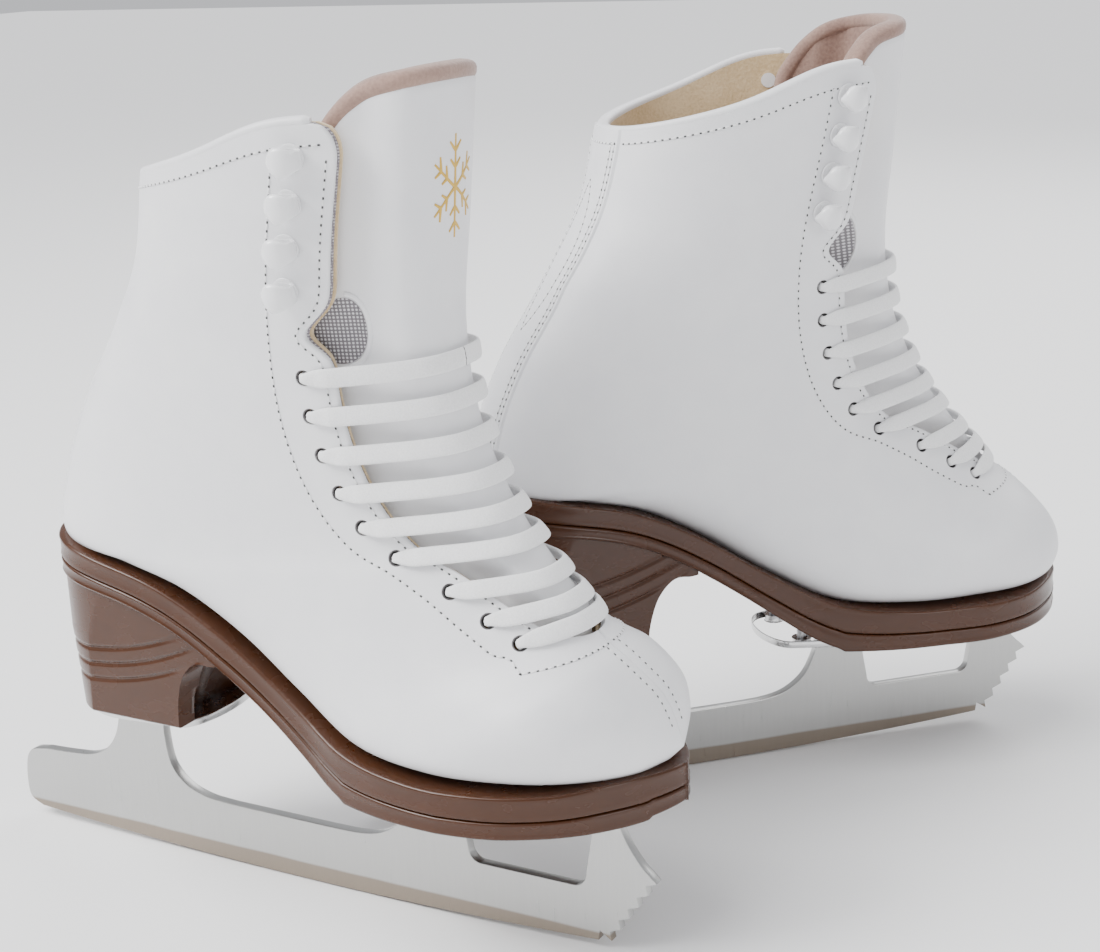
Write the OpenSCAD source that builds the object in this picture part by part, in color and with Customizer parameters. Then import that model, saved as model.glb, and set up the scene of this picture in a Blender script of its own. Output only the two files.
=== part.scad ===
/* [Pair] */
// Distance from the frame's origin back to the right skate's blade tail
right_x = 177; // [150:1:230]
// Distance from the frame's origin sideways to the right skate's centre line
right_y = 110.4; // [90:0.1:140]
// Left skate's tail ahead of the right skate's tail
left_x = 132; // [110:1:180]
// Left skate's tail beside the right skate's centre line
left_y = 56; // [50:1:120]
// Angle that the left skate's toe is turned away from the right skate
left_yaw = 45; // [30:1:60]

/* [Blade] */
// Overall length of the blade, tail to top pick
blade_len = 285; // [280:1:290]
// Thickness of the blade plate
blade_t = 4; // [3.6:0.1:4.4]
// Radius of the rocker along the bottom edge
rocker_r = 2100; // [2000:50:2400]
// Height of the sole plate's lower face above the ice
sole_plate_z = 52; // [50:0.5:53]
// Height of the heel plate's lower face above the ice
heel_plate_z = 62; // [60:0.5:63]
// Thickness of both mounting plates
plate_t = 3; // [2.5:0.1:3.5]

/* [Upper] */
// Thickness of the outer leather
leather_t = 2; // [1.8:0.1:2.2]
// Thickness of the stiffening layer between leather and lining
stiffener_t = 1.2; // [1:0.1:1.4]
// Thickness of the lining
lining_t = 1.4; // [1.2:0.1:1.6]
// Depth of the flex notch between the hooks and the eyelets
notch_depth = 9; // [6:0.5:10]
// Bore radius of an eyelet
eyelet_bore = 2.1; // [2:0.1:2.3]
// Width of the flat lace
lace_w = 6.4; // [5.5:0.1:7]
// Thickness of the flat lace
lace_t = 1.6; // [1.4:0.1:1.8]

/* [Sole] */
// Half-width of the sole at the ball
ball_half = 46; // [44:0.5:47]
// Radius of a mounting screw's shank
screw_r = 2; // [1.8:0.1:2.2]

/* [Hidden] */
$fn = 48;

// Each skate stands in its own frame: x runs forward from the blade's tail, y to the wearer's
// left, z up from the ice. The modules below draw the right skate; the left one is its mirror.

// Sections that fan round the foot, from the collar (0) through the heel (5) to the toe (15):
// back or bottom x, z, front or top x, z, half-width, place of the widest point,
// squareness of the back or bottom, squareness of the front or top, shift to the inner side.
sections = [
  [103, 264, 223, 287, 43, 0.47, 2.2, 2.3, 0],
  [95, 235, 220, 251, 40, 0.47, 2.2, 2.3, 0],
  [79, 206, 217.5, 218, 37, 0.46, 2.3, 2.3, 0],
  [61, 178, 221, 190, 35.5, 0.45, 2.3, 2.2, 0],
  [50, 152, 230, 167, 34.5, 0.42, 2.4, 2.1, 0],
  [49, 131, 240, 150, 34, 0.38, 2.8, 2.1, 0],
  [75, 126, 247, 141, 34.5, 0.36, 3, 2.1, 0],
  [103, 119, 253, 133, 34.5, 0.36, 3, 2.1, 0],
  [130, 105, 259, 126, 35, 0.38, 3, 2.1, 0],
  [155, 88, 264, 119, 37.5, 0.4, 3, 2.15, 0],
  [182, 73, 269, 114.5, 42, 0.42, 3.2, 2.2, 0],
  [212, 68.5, 274.5, 110, 44, 0.42, 3.2, 2.3, 1],
  [240, 68, 280, 104, 40.5, 0.42, 3.2, 2.3, 3],
  [262, 68, 285, 97, 32.5, 0.42, 3, 2.3, 6],
  [279, 69.5, 288, 89, 20, 0.45, 2.8, 2.3, 8],
  [288, 73, 290, 81, 6, 0.5, 2.3, 2.3, 9]
];
throat_end = 9.3;
heel_section = 5;
notch_at = 1.94;
notch_spread = 0.22;
crest_h = 5;
crest_at = 0.62;
toe_tip = [291, 9, 77];

// Rows along the upper, closer together at the notch, the throat's end and the toe.
leg_rows = [0, 0.4, 0.9, 1.4, 1.65, 1.8, 1.94, 2.08, 2.25, 2.6, 3, 3.5, 4, 4.5, 5];
foot_rows = [5.5, 6, 6.6, 7.3, 8, 8.6, 9, 9.2, 9.3];
toe_rows = [9.8, 10.4, 11, 11.6, 12.2, 12.8, 13.4, 13.9, 14.4, 14.8];
rows = concat(leg_rows, foot_rows, toe_rows);
// Columns round one half, as shares of the angle from the back seam to the facing edge.
half_cols = [0, 0.08, 0.16, 0.26, 0.38, 0.5, 0.6, 0.7, 0.8, 0.88, 0.94, 1];
strip_cols = [-0.16, -0.08, 0, 0.08, 0.16];
counter_cols = [-0.5, -0.38, -0.26, -0.16, -0.08, 0, 0.08, 0.16, 0.26, 0.38, 0.5];
pad_cols = [-0.8, -0.7, -0.6, -0.5, -0.38, -0.26, -0.16, -0.08, 0, 0.08, 0.16, 0.26, 0.38, 0.5, 0.6, 0.7, 0.8];
facing_cols = [0.88, 0.94, 1];

// Rows of the hooks and the eyelets, the lowest eyelet first.
hook_rows = [0.24, 0.6, 1, 1.44];
eyelet_rows = [8.65, 7.8, 6.7, 5.36, 4.6, 4, 3.43, 2.9, 2.42];
eyelet_inset = 11;
hook_inset = 15;

stiff_in = leather_t + stiffener_t;
inside_t = stiff_in + lining_t;

// Catmull-Rom value of a table at a position counted in rows, straight past either end.
function table_row(tab, i) =
  i < 0 ? tab[0] + i * (tab[1] - tab[0]) :
  i > len(tab) - 1 ? tab[len(tab) - 1] + (i - len(tab) + 1) * (tab[len(tab) - 1] - tab[len(tab) - 2]) :
  tab[i];
function spline(p, q, r, s, t) =
  0.5 * (2 * q + (r - p) * t + (2 * p - 5 * q + 4 * r - s) * t * t + (3 * q - p - 3 * r + s) * t * t * t);
function curve_at(tab, u) =
  let (i = floor(u))
  spline(table_row(tab, i - 1), table_row(tab, i), table_row(tab, i + 1), table_row(tab, i + 2), u - i);

// Point of the outer skin on section u at angle a: 0 at the back or bottom, 180 at the front or top.
function skin(u, a) =
  let (s = curve_at(sections, u), low = abs(cos(a)) == cos(a), e = 2 / (low ? s[6] : s[7]),
       q = pow(abs(cos(a)), e), f = low ? s[5] * (1 - q) : s[5] + (1 - s[5]) * q,
       crest = crest_h * pow(max(0, 1 - max(0, u)), 2) * exp(-pow((f - crest_at) / 0.2, 2)))
  [s[0] + f * (s[2] - s[0]),
   s[8] + s[4] * sign(sin(a)) * pow(abs(sin(a)), e),
   s[1] + f * (s[3] - s[1]) + crest];
function outward(u, a) =
  let (n = cross(skin(u, a + 1) - skin(u, a - 1), skin(u + 0.02, a) - skin(u - 0.02, a)))
  n / norm(n);
function layer(u, a, t) = skin(u, a) - t * outward(u, a);

// Half the throat gap along the sections, and the angle where the skin is that far from its middle.
gaps = [35, 34, 31, 28.5, 26, 23.5, 21.5, 19.5, 17.5, 14];
function gap(u) =
  u >= throat_end ? 0 : curve_at(gaps, max(0, min(u, 9))) * sqrt(min(1, (throat_end - u) / 0.5));
function throat_angle(u) =
  let (s = curve_at(sections, u))
  u >= throat_end ? 180 : 180 - asin(pow(min(1, gap(u) / s[4]), s[7] / 2));
// The angle a distance d behind another angle along the skin, by halving the interval.
function back_off(u, a, d, lo = 0, hi = 60, n = 12) =
  let (mid = (lo + hi) / 2)
  n == 0 ? a - mid :
  norm(skin(u, a - mid) - skin(u, a)) > d ? back_off(u, a, d, lo, mid, n - 1) : back_off(u, a, d, mid, hi, n - 1);
function notch(u) = notch_depth * exp(-pow((u - notch_at) / notch_spread, 2));
function edge_angle(u) =
  u >= throat_end ? 180 : notch(u) < 0.05 ? throat_angle(u) : back_off(u, throat_angle(u), notch(u));
function eyelet_angle(u) = back_off(u, throat_angle(u), eyelet_inset);

module lofted(grid, closing, tip = []) {
  // grid = [outer rows, inner rows] of points, closing = true where the last row has an end wall.
  nr = len(grid[0]);
  nc = len(grid[0][0]);
  inner_at = nr * nc;
  tip_at = 2 * inner_at;
  points = concat([for (r = grid[0]) each r], [for (r = grid[1]) each r], tip);
  walls = [for (i = [0 : nr - 2]) for (j = [0 : nc - 2])
    let (a = i * nc + j, b = a + nc)
    each [[a, b + 1, a + 1], [a, b, b + 1],
          [a + inner_at, a + 1 + inner_at, b + 1 + inner_at], [a + inner_at, b + 1 + inner_at, b + inner_at]]];
  edges = [for (i = [0 : nr - 2])
    let (a = i * nc, b = a + nc - 1)
    each [[a, a + inner_at, a + nc + inner_at], [a, a + nc + inner_at, a + nc],
          [b, b + nc + inner_at, b + inner_at], [b, b + nc, b + nc + inner_at]]];
  top = [for (j = [0 : nc - 2])
    each [[j, j + 1, j + 1 + inner_at], [j, j + 1 + inner_at, j + inner_at]]];
  e = (nr - 1) * nc;
  bottom = closing
    ? [for (j = [e : e + nc - 2]) each [[j, j + 1 + inner_at, j + 1], [j, j + inner_at, j + 1 + inner_at]]]
    : concat([for (j = [e : e + nc - 2])
        each [[j, tip_at, j + 1], [j + inner_at, j + 1 + inner_at, tip_at + 1]]],
        [[e, e + inner_at, tip_at + 1], [e, tip_at + 1, tip_at],
         [e + nc - 1, tip_at + 1, e + nc - 1 + inner_at], [e + nc - 1, tip_at, tip_at + 1]]);
  polyhedron(points, concat(walls, edges, top, bottom), convexity = 6);
}

function skin_grid(us, cols, t) = [for (u = us) [for (f = cols) layer(u, f * edge_angle(u), t)]];
module skin_piece(us, cols, t_out, t_in) {
  lofted([skin_grid(us, cols, t_out), skin_grid(us, cols, t_in)], true);
}
module skin_half(side, t_out, t_in) {
  cols = side > 0 ? half_cols : [for (j = [len(half_cols) - 1 : -1 : 0]) -half_cols[j]];
  lofted([skin_grid(rows, cols, t_out), skin_grid(rows, cols, t_in)], false,
    [toe_tip - [t_out, 0, 0], toe_tip - [t_in, 0, 0]]);
}

// Places its children at a point of the skin, with their z axis along the outward direction.
module on_skin(u, a) {
  p = skin(u, a);
  n = outward(u, a);
  translate(p)
    rotate([0, acos(n[2]), atan2(n[1], n[0])])
      children();
}
module at_eyelets(side) {
  for (u = eyelet_rows)
    on_skin(u, side * eyelet_angle(u)) children();
}
module at_hooks(side) {
  for (u = hook_rows)
    on_skin(u, side * back_off(u, throat_angle(u), hook_inset)) children();
}
eyelet_wall = 0.7;
hook_stem = 1.8;
module fastener_holes(side) {
  at_eyelets(side)
    translate([0, 0, -inside_t - 2]) cylinder(r = eyelet_bore + eyelet_wall, h = inside_t + 4, $fn = 24);
  at_hooks(side)
    translate([0, 0, -inside_t - 2]) cylinder(r = hook_stem, h = inside_t + 4, $fn = 24);
}

// ---- Blade, plates and screws ----

function ice_z(x) = pow(x - 135, 2) / (2 * rocker_r);
runner_h = 24;
pick_root = [262, 7.5];
drag_pick = [267, 4.5];
top_pick = [blade_len, 30];
pick_count = 6;

module blade_outline() {
  bottom = [for (x = [6 : 8 : 262]) [x, ice_z(x)]];
  teeth = [for (i = [0 : pick_count - 1])
    let (p = drag_pick + (top_pick - drag_pick) * i / (pick_count - 1), q = drag_pick + (top_pick - drag_pick) * (i + 0.55) / (pick_count - 1))
    each i < pick_count - 1 ? [p, q + [-2.6, 0.6]] : [p]];
  difference() {
    polygon(concat(bottom, [pick_root], teeth,
      [[280, 35], [274, 43], [271, sole_plate_z], [189, sole_plate_z], [187, 42], [182, 31], [174, 25.5],
       [160, 24], [96, 24], [84, 26.5], [77, 34], [75.5, 46], [78, heel_plate_z], [54, heel_plate_z],
       [52, 46], [46, 36], [36, 31.5], [8, 29.5], [2.5, 27], [0.5, 21], [0, 10], [1.5, 6.5]]));
    hull() {
      translate([216, 28]) circle(r = 5);
      translate([253, 28]) circle(r = 5);
      translate([212, 44.5]) circle(r = 4);
      translate([257, 44.5]) circle(r = 4);
    }
  }
}
module blade() {
  color("silver")
    translate([0, blade_t / 2, 0])
      rotate([90, 0, 0])
        linear_extrude(blade_t) blade_outline();
}

sole_screw_at = [[176, 15], [196, 23], [222, 27], [248, 23], [266, 13]];
heel_screw_at = [[58, 13], [78, 18], [98, 15]];
screw_head_r = 3.6;
screw_head_t = 1.3;
screw_len = 12;
module screws_at(places, z) {
  for (p = places)
    for (side = [-1, 1])
      translate([p[0], side * p[1], z]) children();
}
module screw() {
  cylinder(r = screw_head_r, h = screw_head_t);
  cylinder(r = screw_r, h = screw_len);
}

module sole_plate_outline() {
  hull() {
    translate([172, 0]) scale([0.5, 1]) circle(r = 19);
    translate([222, 0]) circle(r = 32);
    translate([262, 0]) scale([0.7, 1]) circle(r = 20);
  }
}
module sole_plate() {
  color("lightgray")
    difference() {
      translate([0, 0, sole_plate_z]) linear_extrude(plate_t) sole_plate_outline();
      screws_at(sole_screw_at, sole_plate_z - 1) cylinder(r = screw_r, h = plate_t + 2);
      screws_at(sole_screw_at, sole_plate_z - 1) cylinder(r = screw_head_r, h = screw_head_t + 1);
    }
}
module heel_plate_outline() {
  hull() {
    translate([72, 0]) circle(r = 24);
    translate([101, 0]) scale([0.35, 1]) circle(r = 21);
  }
}
module heel_plate() {
  color("lightgray")
    difference() {
      translate([0, 0, heel_plate_z]) linear_extrude(plate_t) heel_plate_outline();
      screws_at(heel_screw_at, heel_plate_z - 1) cylinder(r = screw_r, h = plate_t + 2);
      screws_at(heel_screw_at, heel_plate_z - 1) cylinder(r = screw_head_r, h = screw_head_t + 1);
    }
}
module sole_screws() {
  color("dimgray") screws_at(sole_screw_at, sole_plate_z) screw();
}
module heel_screws() {
  color("dimgray") screws_at(heel_screw_at, heel_plate_z) screw();
}

// ---- Sole unit ----

// Half-width and inner shift of the sole along its length.
sole_half = [[46, 5], [47, 11], [50, 18], [56, 25], [66, 30], [80, 32], [100, 32], [120, 31], [145, 31],
  [165, 34], [185, 40], [205, 44.5], [225, ball_half], [243, 45], [258, 40], [270, 33], [280, 23.5],
  [287, 14], [290.5, 7], [292, 2]];
sole_shift = [[46, 0], [190, 0], [225, 1], [250, 4], [275, 7], [292, 9]];
function sole_shift_at(x) = lookup(x, sole_shift);
module sole_outline(inset = 0) {
  half = [for (p = sole_half) if (p[1] > inset) [p[0], p[1] - inset]];
  polygon(concat([for (p = half) [p[0], sole_shift_at(p[0]) + p[1]]],
    [for (i = [len(half) - 1 : -1 : 0]) [half[i][0], sole_shift_at(half[i][0]) - half[i][1]]]));
}

// The upper's lower line, just under which the sole unit lies, and the line of its underside.
sole_gap = 1.6;
feather = concat([[40, 131.5]],
  [for (u = [heel_section : 14]) let (s = curve_at(sections, u)) [s[0], s[1] - sole_gap]],
  [[296, 68.6]]);
ground = [[40, 119.5], [60, 117], [85, 113], [103, 107.5], [118, 100], [132, 91], [146, 81], [160, 70.5],
  [172, 62], [182, 57], [192, 55], [276, 55], [286, 56.5], [296, 58.5]];
function mid_z(x) = 0.5 * (lookup(x, feather) + lookup(x, ground));
function ground_z(x) = lookup(x, [for (p = sole_half) [p[0], lookup(p[0], ground)]]);

// A slab along the sole: each station is [x, half-width, bottom z, top z].
module slab(stations) {
  n = len(stations);
  points = [for (p = stations) let (y = sole_shift_at(p[0]))
    each [[p[0], y - p[1], p[2]], [p[0], y + p[1], p[2]], [p[0], y + p[1], p[3]], [p[0], y - p[1], p[3]]]];
  walls = [for (i = [0 : n - 2]) for (k = [0 : 3])
    let (a = 4 * i + k, b = 4 * i + (k + 1) % 4)
    each [[a, b, b + 4], [a, b + 4, a + 4]]];
  e = 4 * (n - 1);
  polyhedron(points, concat(walls, [[0, 3, 2, 1]], [[e, e + 1, e + 2, e + 3]]), convexity = 4);
}
module side_band(points, half = 60) {
  translate([0, half, 0]) rotate([90, 0, 0]) linear_extrude(2 * half) polygon(points);
}
module screw_cores() {
  screws_at(sole_screw_at, sole_plate_z) cylinder(r = screw_r, h = screw_len);
  screws_at(heel_screw_at, heel_plate_z) cylinder(r = screw_r, h = screw_len);
}
module midsole() {
  color([0.38, 0.22, 0.13])
    difference() {
      slab([for (p = sole_half) [p[0], p[1], mid_z(p[0]), lookup(p[0], feather)]]);
      screw_cores();
    }
}
module outsole() {
  color([0.33, 0.19, 0.11])
    difference() {
      slab([for (p = sole_half) [p[0], p[1], ground_z(p[0]), mid_z(p[0])]]);
      screw_cores();
    }
}
heel_base_z = heel_plate_z + plate_t;
heel_back = [[50.5, 96], [52, 80], [53, heel_base_z]];
heel_breast = [[106, heel_base_z], [107.5, 76], [111, 86], [118, 94], [130, ground_z(130)]];
module heel_block() {
  color([0.36, 0.21, 0.12])
    difference() {
      intersection() {
        linear_extrude(150) sole_outline(1.2);
        side_band(concat(
          [for (i = [len(sole_half) - 1 : -1 : 0]) let (x = sole_half[i][0]) if (x >= 50 && x <= 120) [x, ground_z(x)]],
          heel_back, heel_breast));
        rotate([90, 0, 90])
          linear_extrude(200) polygon([[-31, 121], [31, 121], [27.5, heel_base_z], [-27.5, heel_base_z]]);
      }
      screw_cores();
      translate([118, 0, 60]) scale([0.6, 1, 1]) cylinder(r = 15, h = 35);
    }
}

// ---- Inside the boot ----

function floor_z(x) = lookup(x, feather) + inside_t + 4.3;
board_inset = 20;
module board(up, thick) {
  slab([for (p = sole_half) if (p[1] > board_inset + 8)
    [p[0], p[1] - board_inset, floor_z(p[0]) + up, floor_z(p[0]) + up + thick]]);
}
module insole_board() {
  color("tan") board(0, 2);
}
module footbed() {
  color("wheat") board(3.6, 2.5);
}
shank_xs = [for (p = sole_half) if (p[0] >= 66 && p[0] <= 205) p[0]];
function board_z(x) = lookup(x, [for (p = sole_half) [p[0], floor_z(p[0])]]);
module shank() {
  color("gray")
    intersection() {
      translate([80, -7, 60]) cube([110, 14, 90]);
      side_band(concat([for (x = shank_xs) [x, board_z(x) + 3.4]],
        [for (i = [len(shank_xs) - 1 : -1 : 0]) [shank_xs[i], board_z(shank_xs[i]) + 2.2]]));
    }
}

// ---- Upper ----

module quarter_outer() {
  color("white")
    difference() {
      skin_half(-1, 0, leather_t);
      fastener_holes(-1);
    }
}
module quarter_inner() {
  color("white")
    difference() {
      skin_half(1, 0, leather_t);
      fastener_holes(1);
    }
}
module lining_outer() {
  color("burlywood")
    difference() {
      skin_half(-1, stiff_in, inside_t);
      fastener_holes(-1);
    }
}
module lining_inner() {
  color("burlywood")
    difference() {
      skin_half(1, stiff_in, inside_t);
      fastener_holes(1);
    }
}
facing_rows = [for (u = rows) if (u <= 9) u];
module facing(side) {
  cols = side > 0 ? facing_cols : [for (j = [2 : -1 : 0]) -facing_cols[j]];
  color("gainsboro")
    difference() {
      skin_piece(facing_rows, cols, leather_t, stiff_in);
      fastener_holes(side);
    }
}
module heel_counter() {
  color("peru") skin_piece([for (u = rows) if (u >= 3 && u <= 8) u], counter_cols, leather_t, stiff_in);
}
module toe_puff() {
  color("peru")
    difference() {
      skin_piece([for (u = rows) if (u >= 11) u],
        concat([for (j = [len(half_cols) - 1 : -1 : 1]) -half_cols[j] * 0.994], [for (f = half_cols) f * 0.994]),
        leather_t + 0.3, stiff_in - 0.3);
    }
}
module collar_padding() {
  color("khaki") skin_piece([for (u = rows) if (u <= 2.6) u], pad_cols, leather_t, stiff_in);
}
binding_h = 0.11;
binding_cols = concat([for (j = [len(half_cols) - 1 : -1 : 1]) -half_cols[j]], half_cols);
module collar_binding() {
  color("white") skin_piece([-binding_h, 0], binding_cols, 0, inside_t);
}
strip_t = 1.3;
module back_strip() {
  color("whitesmoke") skin_piece([for (u = rows) if (u <= 4.5) u], strip_cols, -strip_t, 0);
}

// ---- Hooks and eyelets ----

module hook() {
  // A washer, a stem riveted through the upper, and a dome that stands off the washer.
  rotate_extrude($fn = 36)
    polygon([[0, -inside_t - 0.8], [3.2, -inside_t - 0.8], [3.2, -inside_t], [hook_stem, -inside_t],
      [hook_stem, 0], [4.6, 0], [4.6, 1.1], [2, 1.3], [2, 4.2], [4.6, 4.4], [5.2, 5.4], [4.8, 7],
      [3.2, 8.6], [1.6, 9.3], [0, 9.5]]);
}
module hooks_outer() {
  color("white") at_hooks(-1) hook();
}
module hooks_inner() {
  color("white") at_hooks(1) hook();
}
module eyelet() {
  rotate_extrude($fn = 36)
    polygon([[eyelet_bore, -inside_t - 0.6], [eyelet_bore + 1.6, -inside_t - 0.6], [eyelet_bore + 1.6, -inside_t],
      [eyelet_bore + eyelet_wall, -inside_t], [eyelet_bore + eyelet_wall, 0.15], [eyelet_bore, 0.15]]);
}
module eyelets_outer() {
  color("dimgray") at_eyelets(-1) eyelet();
}
module eyelets_inner() {
  color("dimgray") at_eyelets(1) eyelet();
}

// ---- Tongue ----

tongue_face = inside_t + 3;
tongue_joint = 2.2;
tongue_upper_rows = [-0.25, -0.1, 0.1, 0.4, 0.8, 1.2, 1.6, 1.9, tongue_joint - 0.04];
tongue_lower_rows = [tongue_joint + 0.04, 2.6, 3, 3.5, 4, 4.5, 5, 6, 7, 8, 8.8, 9.6, 10.2];
tongue_cols = [-1, -0.84, -0.66, -0.45, -0.22, 0, 0.22, 0.45, 0.66, 0.84, 1];
// How far round the tongue reaches behind the facing edges, and how far its middle swells out.
tongue_tuck = 10;
tongue_swell = 4.8;
function throat_span(u) = 180 - throat_angle(min(u, 9));
function swell(u, share) =
  tongue_swell * min(1, max(0, (9.4 - u) / 0.8)) * min(1, max(0, (0.96 - share) / 0.35));
function tongue_point(u, f, extra) =
  let (span = f * (throat_span(u) + tongue_tuck))
  layer(u, 180 - span, tongue_face - swell(u, abs(span) / throat_span(u)) + extra);
function tongue_grid(us, extra) = [for (u = us) [for (f = tongue_cols) tongue_point(u, -f, extra)]];
module tongue_part(us, t_out, t_in) {
  lofted([tongue_grid(us, t_out), tongue_grid(us, t_in)], true);
}
module tongue_lower() {
  color("white") tongue_part(tongue_lower_rows, 0, 4);
}
module tongue_upper() {
  color("white") tongue_part(tongue_upper_rows, 0, 5);
}
module tongue_lining() {
  color("rosybrown") tongue_part(tongue_upper_rows, 5, 7.5);
}

// ---- Lace ----

lace_round = 1.4;
lace_lift = 2.4;
// Route of the lace: out of one eyelet, across the throat, in at the other, then up inside.
function lace_stop(u, side, t) = layer(u, side * eyelet_angle(u), t);
function lace_over(u, side, share) =
  layer(u, 180 - side * share * throat_span(u), -lace_lift - 1.1 * (1 - abs(share)));
function lace_bar(u, side) =
  [[lace_stop(u, side, inside_t + 1.8), lace_round, lace_round],
   [lace_stop(u, side, 2.2), lace_round, lace_round],
   [lace_stop(u, side, -lace_lift), lace_w / 2.6, 1],
   for (share = [1, 0.55, 0, -0.55, -1]) [lace_over(u, side, share), lace_w / 2, lace_t / 2],
   [lace_stop(u, -side, -lace_lift), lace_w / 2.6, 1],
   [lace_stop(u, -side, 2.2), lace_round, lace_round],
   [lace_stop(u, -side, inside_t + 1.8), lace_round, lace_round]];
lace_route = [for (i = [0 : len(eyelet_rows) - 1]) each lace_bar(eyelet_rows[i], i % 2 == 0 ? -1 : 1)];
lace_sides = 6;
function unit(v) = v / norm(v);
function tangent(i) =
  unit(lace_route[min(i + 1, len(lace_route) - 1)][0] - lace_route[max(i - 1, 0)][0]);
function carried(e, t) = unit(e - (e * t) * t);
module lace() {
  n = len(lace_route);
  start = carried(skin(8.3, 180) - skin(9, 180), tangent(0));
  sides = [for (i = 0, e = start; i < n; i = i + 1, e = i < n ? carried(e, tangent(min(i, n - 1))) : e) e];
  points = [for (i = [0 : n - 1]) let (r = lace_route[i], e = sides[i], g = cross(tangent(i), e))
    for (k = [0 : lace_sides - 1])
      r[0] + r[1] * cos(k * 360 / lace_sides) * e + r[2] * sin(k * 360 / lace_sides) * g];
  tube = [for (i = [0 : n - 2]) for (k = [0 : lace_sides - 1])
    let (a = i * lace_sides + k, b = i * lace_sides + (k + 1) % lace_sides)
    each [[a, b + lace_sides, b], [a, a + lace_sides, b + lace_sides]]];
  caps = [[for (k = [0 : lace_sides - 1]) k], [for (k = [lace_sides - 1 : -1 : 0]) (n - 1) * lace_sides + k]];
  color("snow") polyhedron(points, concat(tube, caps), convexity = 10);
}

// ---- The pair ----

module right() {
  translate([-right_x, -right_y, 0]) children();
}
module left() {
  translate([left_x - right_x, left_y - right_y, 0])
    rotate([0, 0, left_yaw])
      mirror([0, 1, 0]) children();
}

right() blade();  // right_blade
right() sole_plate();  // right_sole_plate
right() heel_plate();  // right_heel_plate
right() sole_screws();  // right_sole_screws
right() heel_screws();  // right_heel_screws
right() outsole();  // right_outsole
right() midsole();  // right_midsole
right() heel_block();  // right_heel_block
right() shank();  // right_shank
right() insole_board();  // right_insole_board
right() footbed();  // right_footbed
right() quarter_outer();  // right_quarter_outer
right() quarter_inner();  // right_quarter_inner
right() lining_outer();  // right_lining_outer
right() lining_inner();  // right_lining_inner
right() facing(-1);  // right_facing_outer
right() facing(1);  // right_facing_inner
right() heel_counter();  // right_heel_counter
right() toe_puff();  // right_toe_puff
right() collar_padding();  // right_collar_padding
right() collar_binding();  // right_collar_binding
right() back_strip();  // right_back_strip
right() hooks_outer();  // right_hooks_outer
right() hooks_inner();  // right_hooks_inner
right() eyelets_outer();  // right_eyelets_outer
right() eyelets_inner();  // right_eyelets_inner
right() tongue_lower();  // right_tongue_lower
right() tongue_upper();  // right_tongue_upper
right() tongue_lining();  // right_tongue_lining
right() lace();  // right_lace

left() blade();  // left_blade
left() sole_plate();  // left_sole_plate
left() heel_plate();  // left_heel_plate
left() sole_screws();  // left_sole_screws
left() heel_screws();  // left_heel_screws
left() outsole();  // left_outsole
left() midsole();  // left_midsole
left() heel_block();  // left_heel_block
left() shank();  // left_shank
left() insole_board();  // left_insole_board
left() footbed();  // left_footbed
left() quarter_outer();  // left_quarter_outer
left() quarter_inner();  // left_quarter_inner
left() lining_outer();  // left_lining_outer
left() lining_inner();  // left_lining_inner
left() facing(-1);  // left_facing_outer
left() facing(1);  // left_facing_inner
left() heel_counter();  // left_heel_counter
left() toe_puff();  // left_toe_puff
left() collar_padding();  // left_collar_padding
left() collar_binding();  // left_collar_binding
left() back_strip();  // left_back_strip
left() hooks_outer();  // left_hooks_outer
left() hooks_inner();  // left_hooks_inner
left() eyelets_outer();  // left_eyelets_outer
left() eyelets_inner();  // left_eyelets_inner
left() tongue_lower();  // left_tongue_lower
left() tongue_upper();  // left_tongue_upper
left() tongue_lining();  // left_tongue_lining
left() lace();  // left_lace
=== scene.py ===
"""A pair of white leather figure skates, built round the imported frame, piece by piece."""

import math

import bpy
import numpy as np
from mathutils import Matrix, Vector
from mathutils.geometry import convex_hull_2d


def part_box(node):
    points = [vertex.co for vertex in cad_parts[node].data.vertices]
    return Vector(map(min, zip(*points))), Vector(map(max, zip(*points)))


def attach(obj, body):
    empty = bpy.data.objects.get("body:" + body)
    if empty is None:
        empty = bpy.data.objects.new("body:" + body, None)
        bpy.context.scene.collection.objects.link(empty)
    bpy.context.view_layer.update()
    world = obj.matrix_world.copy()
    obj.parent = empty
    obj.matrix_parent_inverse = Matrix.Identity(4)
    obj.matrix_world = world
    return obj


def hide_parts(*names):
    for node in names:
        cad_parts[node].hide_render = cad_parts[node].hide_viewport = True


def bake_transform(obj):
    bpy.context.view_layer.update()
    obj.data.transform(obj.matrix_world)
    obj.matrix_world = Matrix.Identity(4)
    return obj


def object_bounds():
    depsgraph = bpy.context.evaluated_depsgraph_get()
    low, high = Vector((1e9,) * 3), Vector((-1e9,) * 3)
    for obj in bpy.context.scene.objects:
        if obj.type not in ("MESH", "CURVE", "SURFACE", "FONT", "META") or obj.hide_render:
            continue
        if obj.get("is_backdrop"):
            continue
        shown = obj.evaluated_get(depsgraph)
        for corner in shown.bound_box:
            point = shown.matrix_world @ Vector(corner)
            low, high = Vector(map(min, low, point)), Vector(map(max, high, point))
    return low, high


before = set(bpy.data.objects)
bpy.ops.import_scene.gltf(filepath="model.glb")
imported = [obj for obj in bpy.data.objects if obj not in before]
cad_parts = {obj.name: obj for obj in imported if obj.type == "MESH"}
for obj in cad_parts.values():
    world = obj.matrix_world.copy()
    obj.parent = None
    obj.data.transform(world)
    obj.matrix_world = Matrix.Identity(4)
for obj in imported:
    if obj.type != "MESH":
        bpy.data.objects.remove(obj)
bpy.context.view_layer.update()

# ---------------------------------------------------------------------------------------------
# Camera. A studio lens looks down a little on the right skate's outer side, from in front of its toe.
# ---------------------------------------------------------------------------------------------
camera_data = bpy.data.cameras.new("camera")
camera = bpy.data.objects.new("camera", camera_data)
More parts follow.
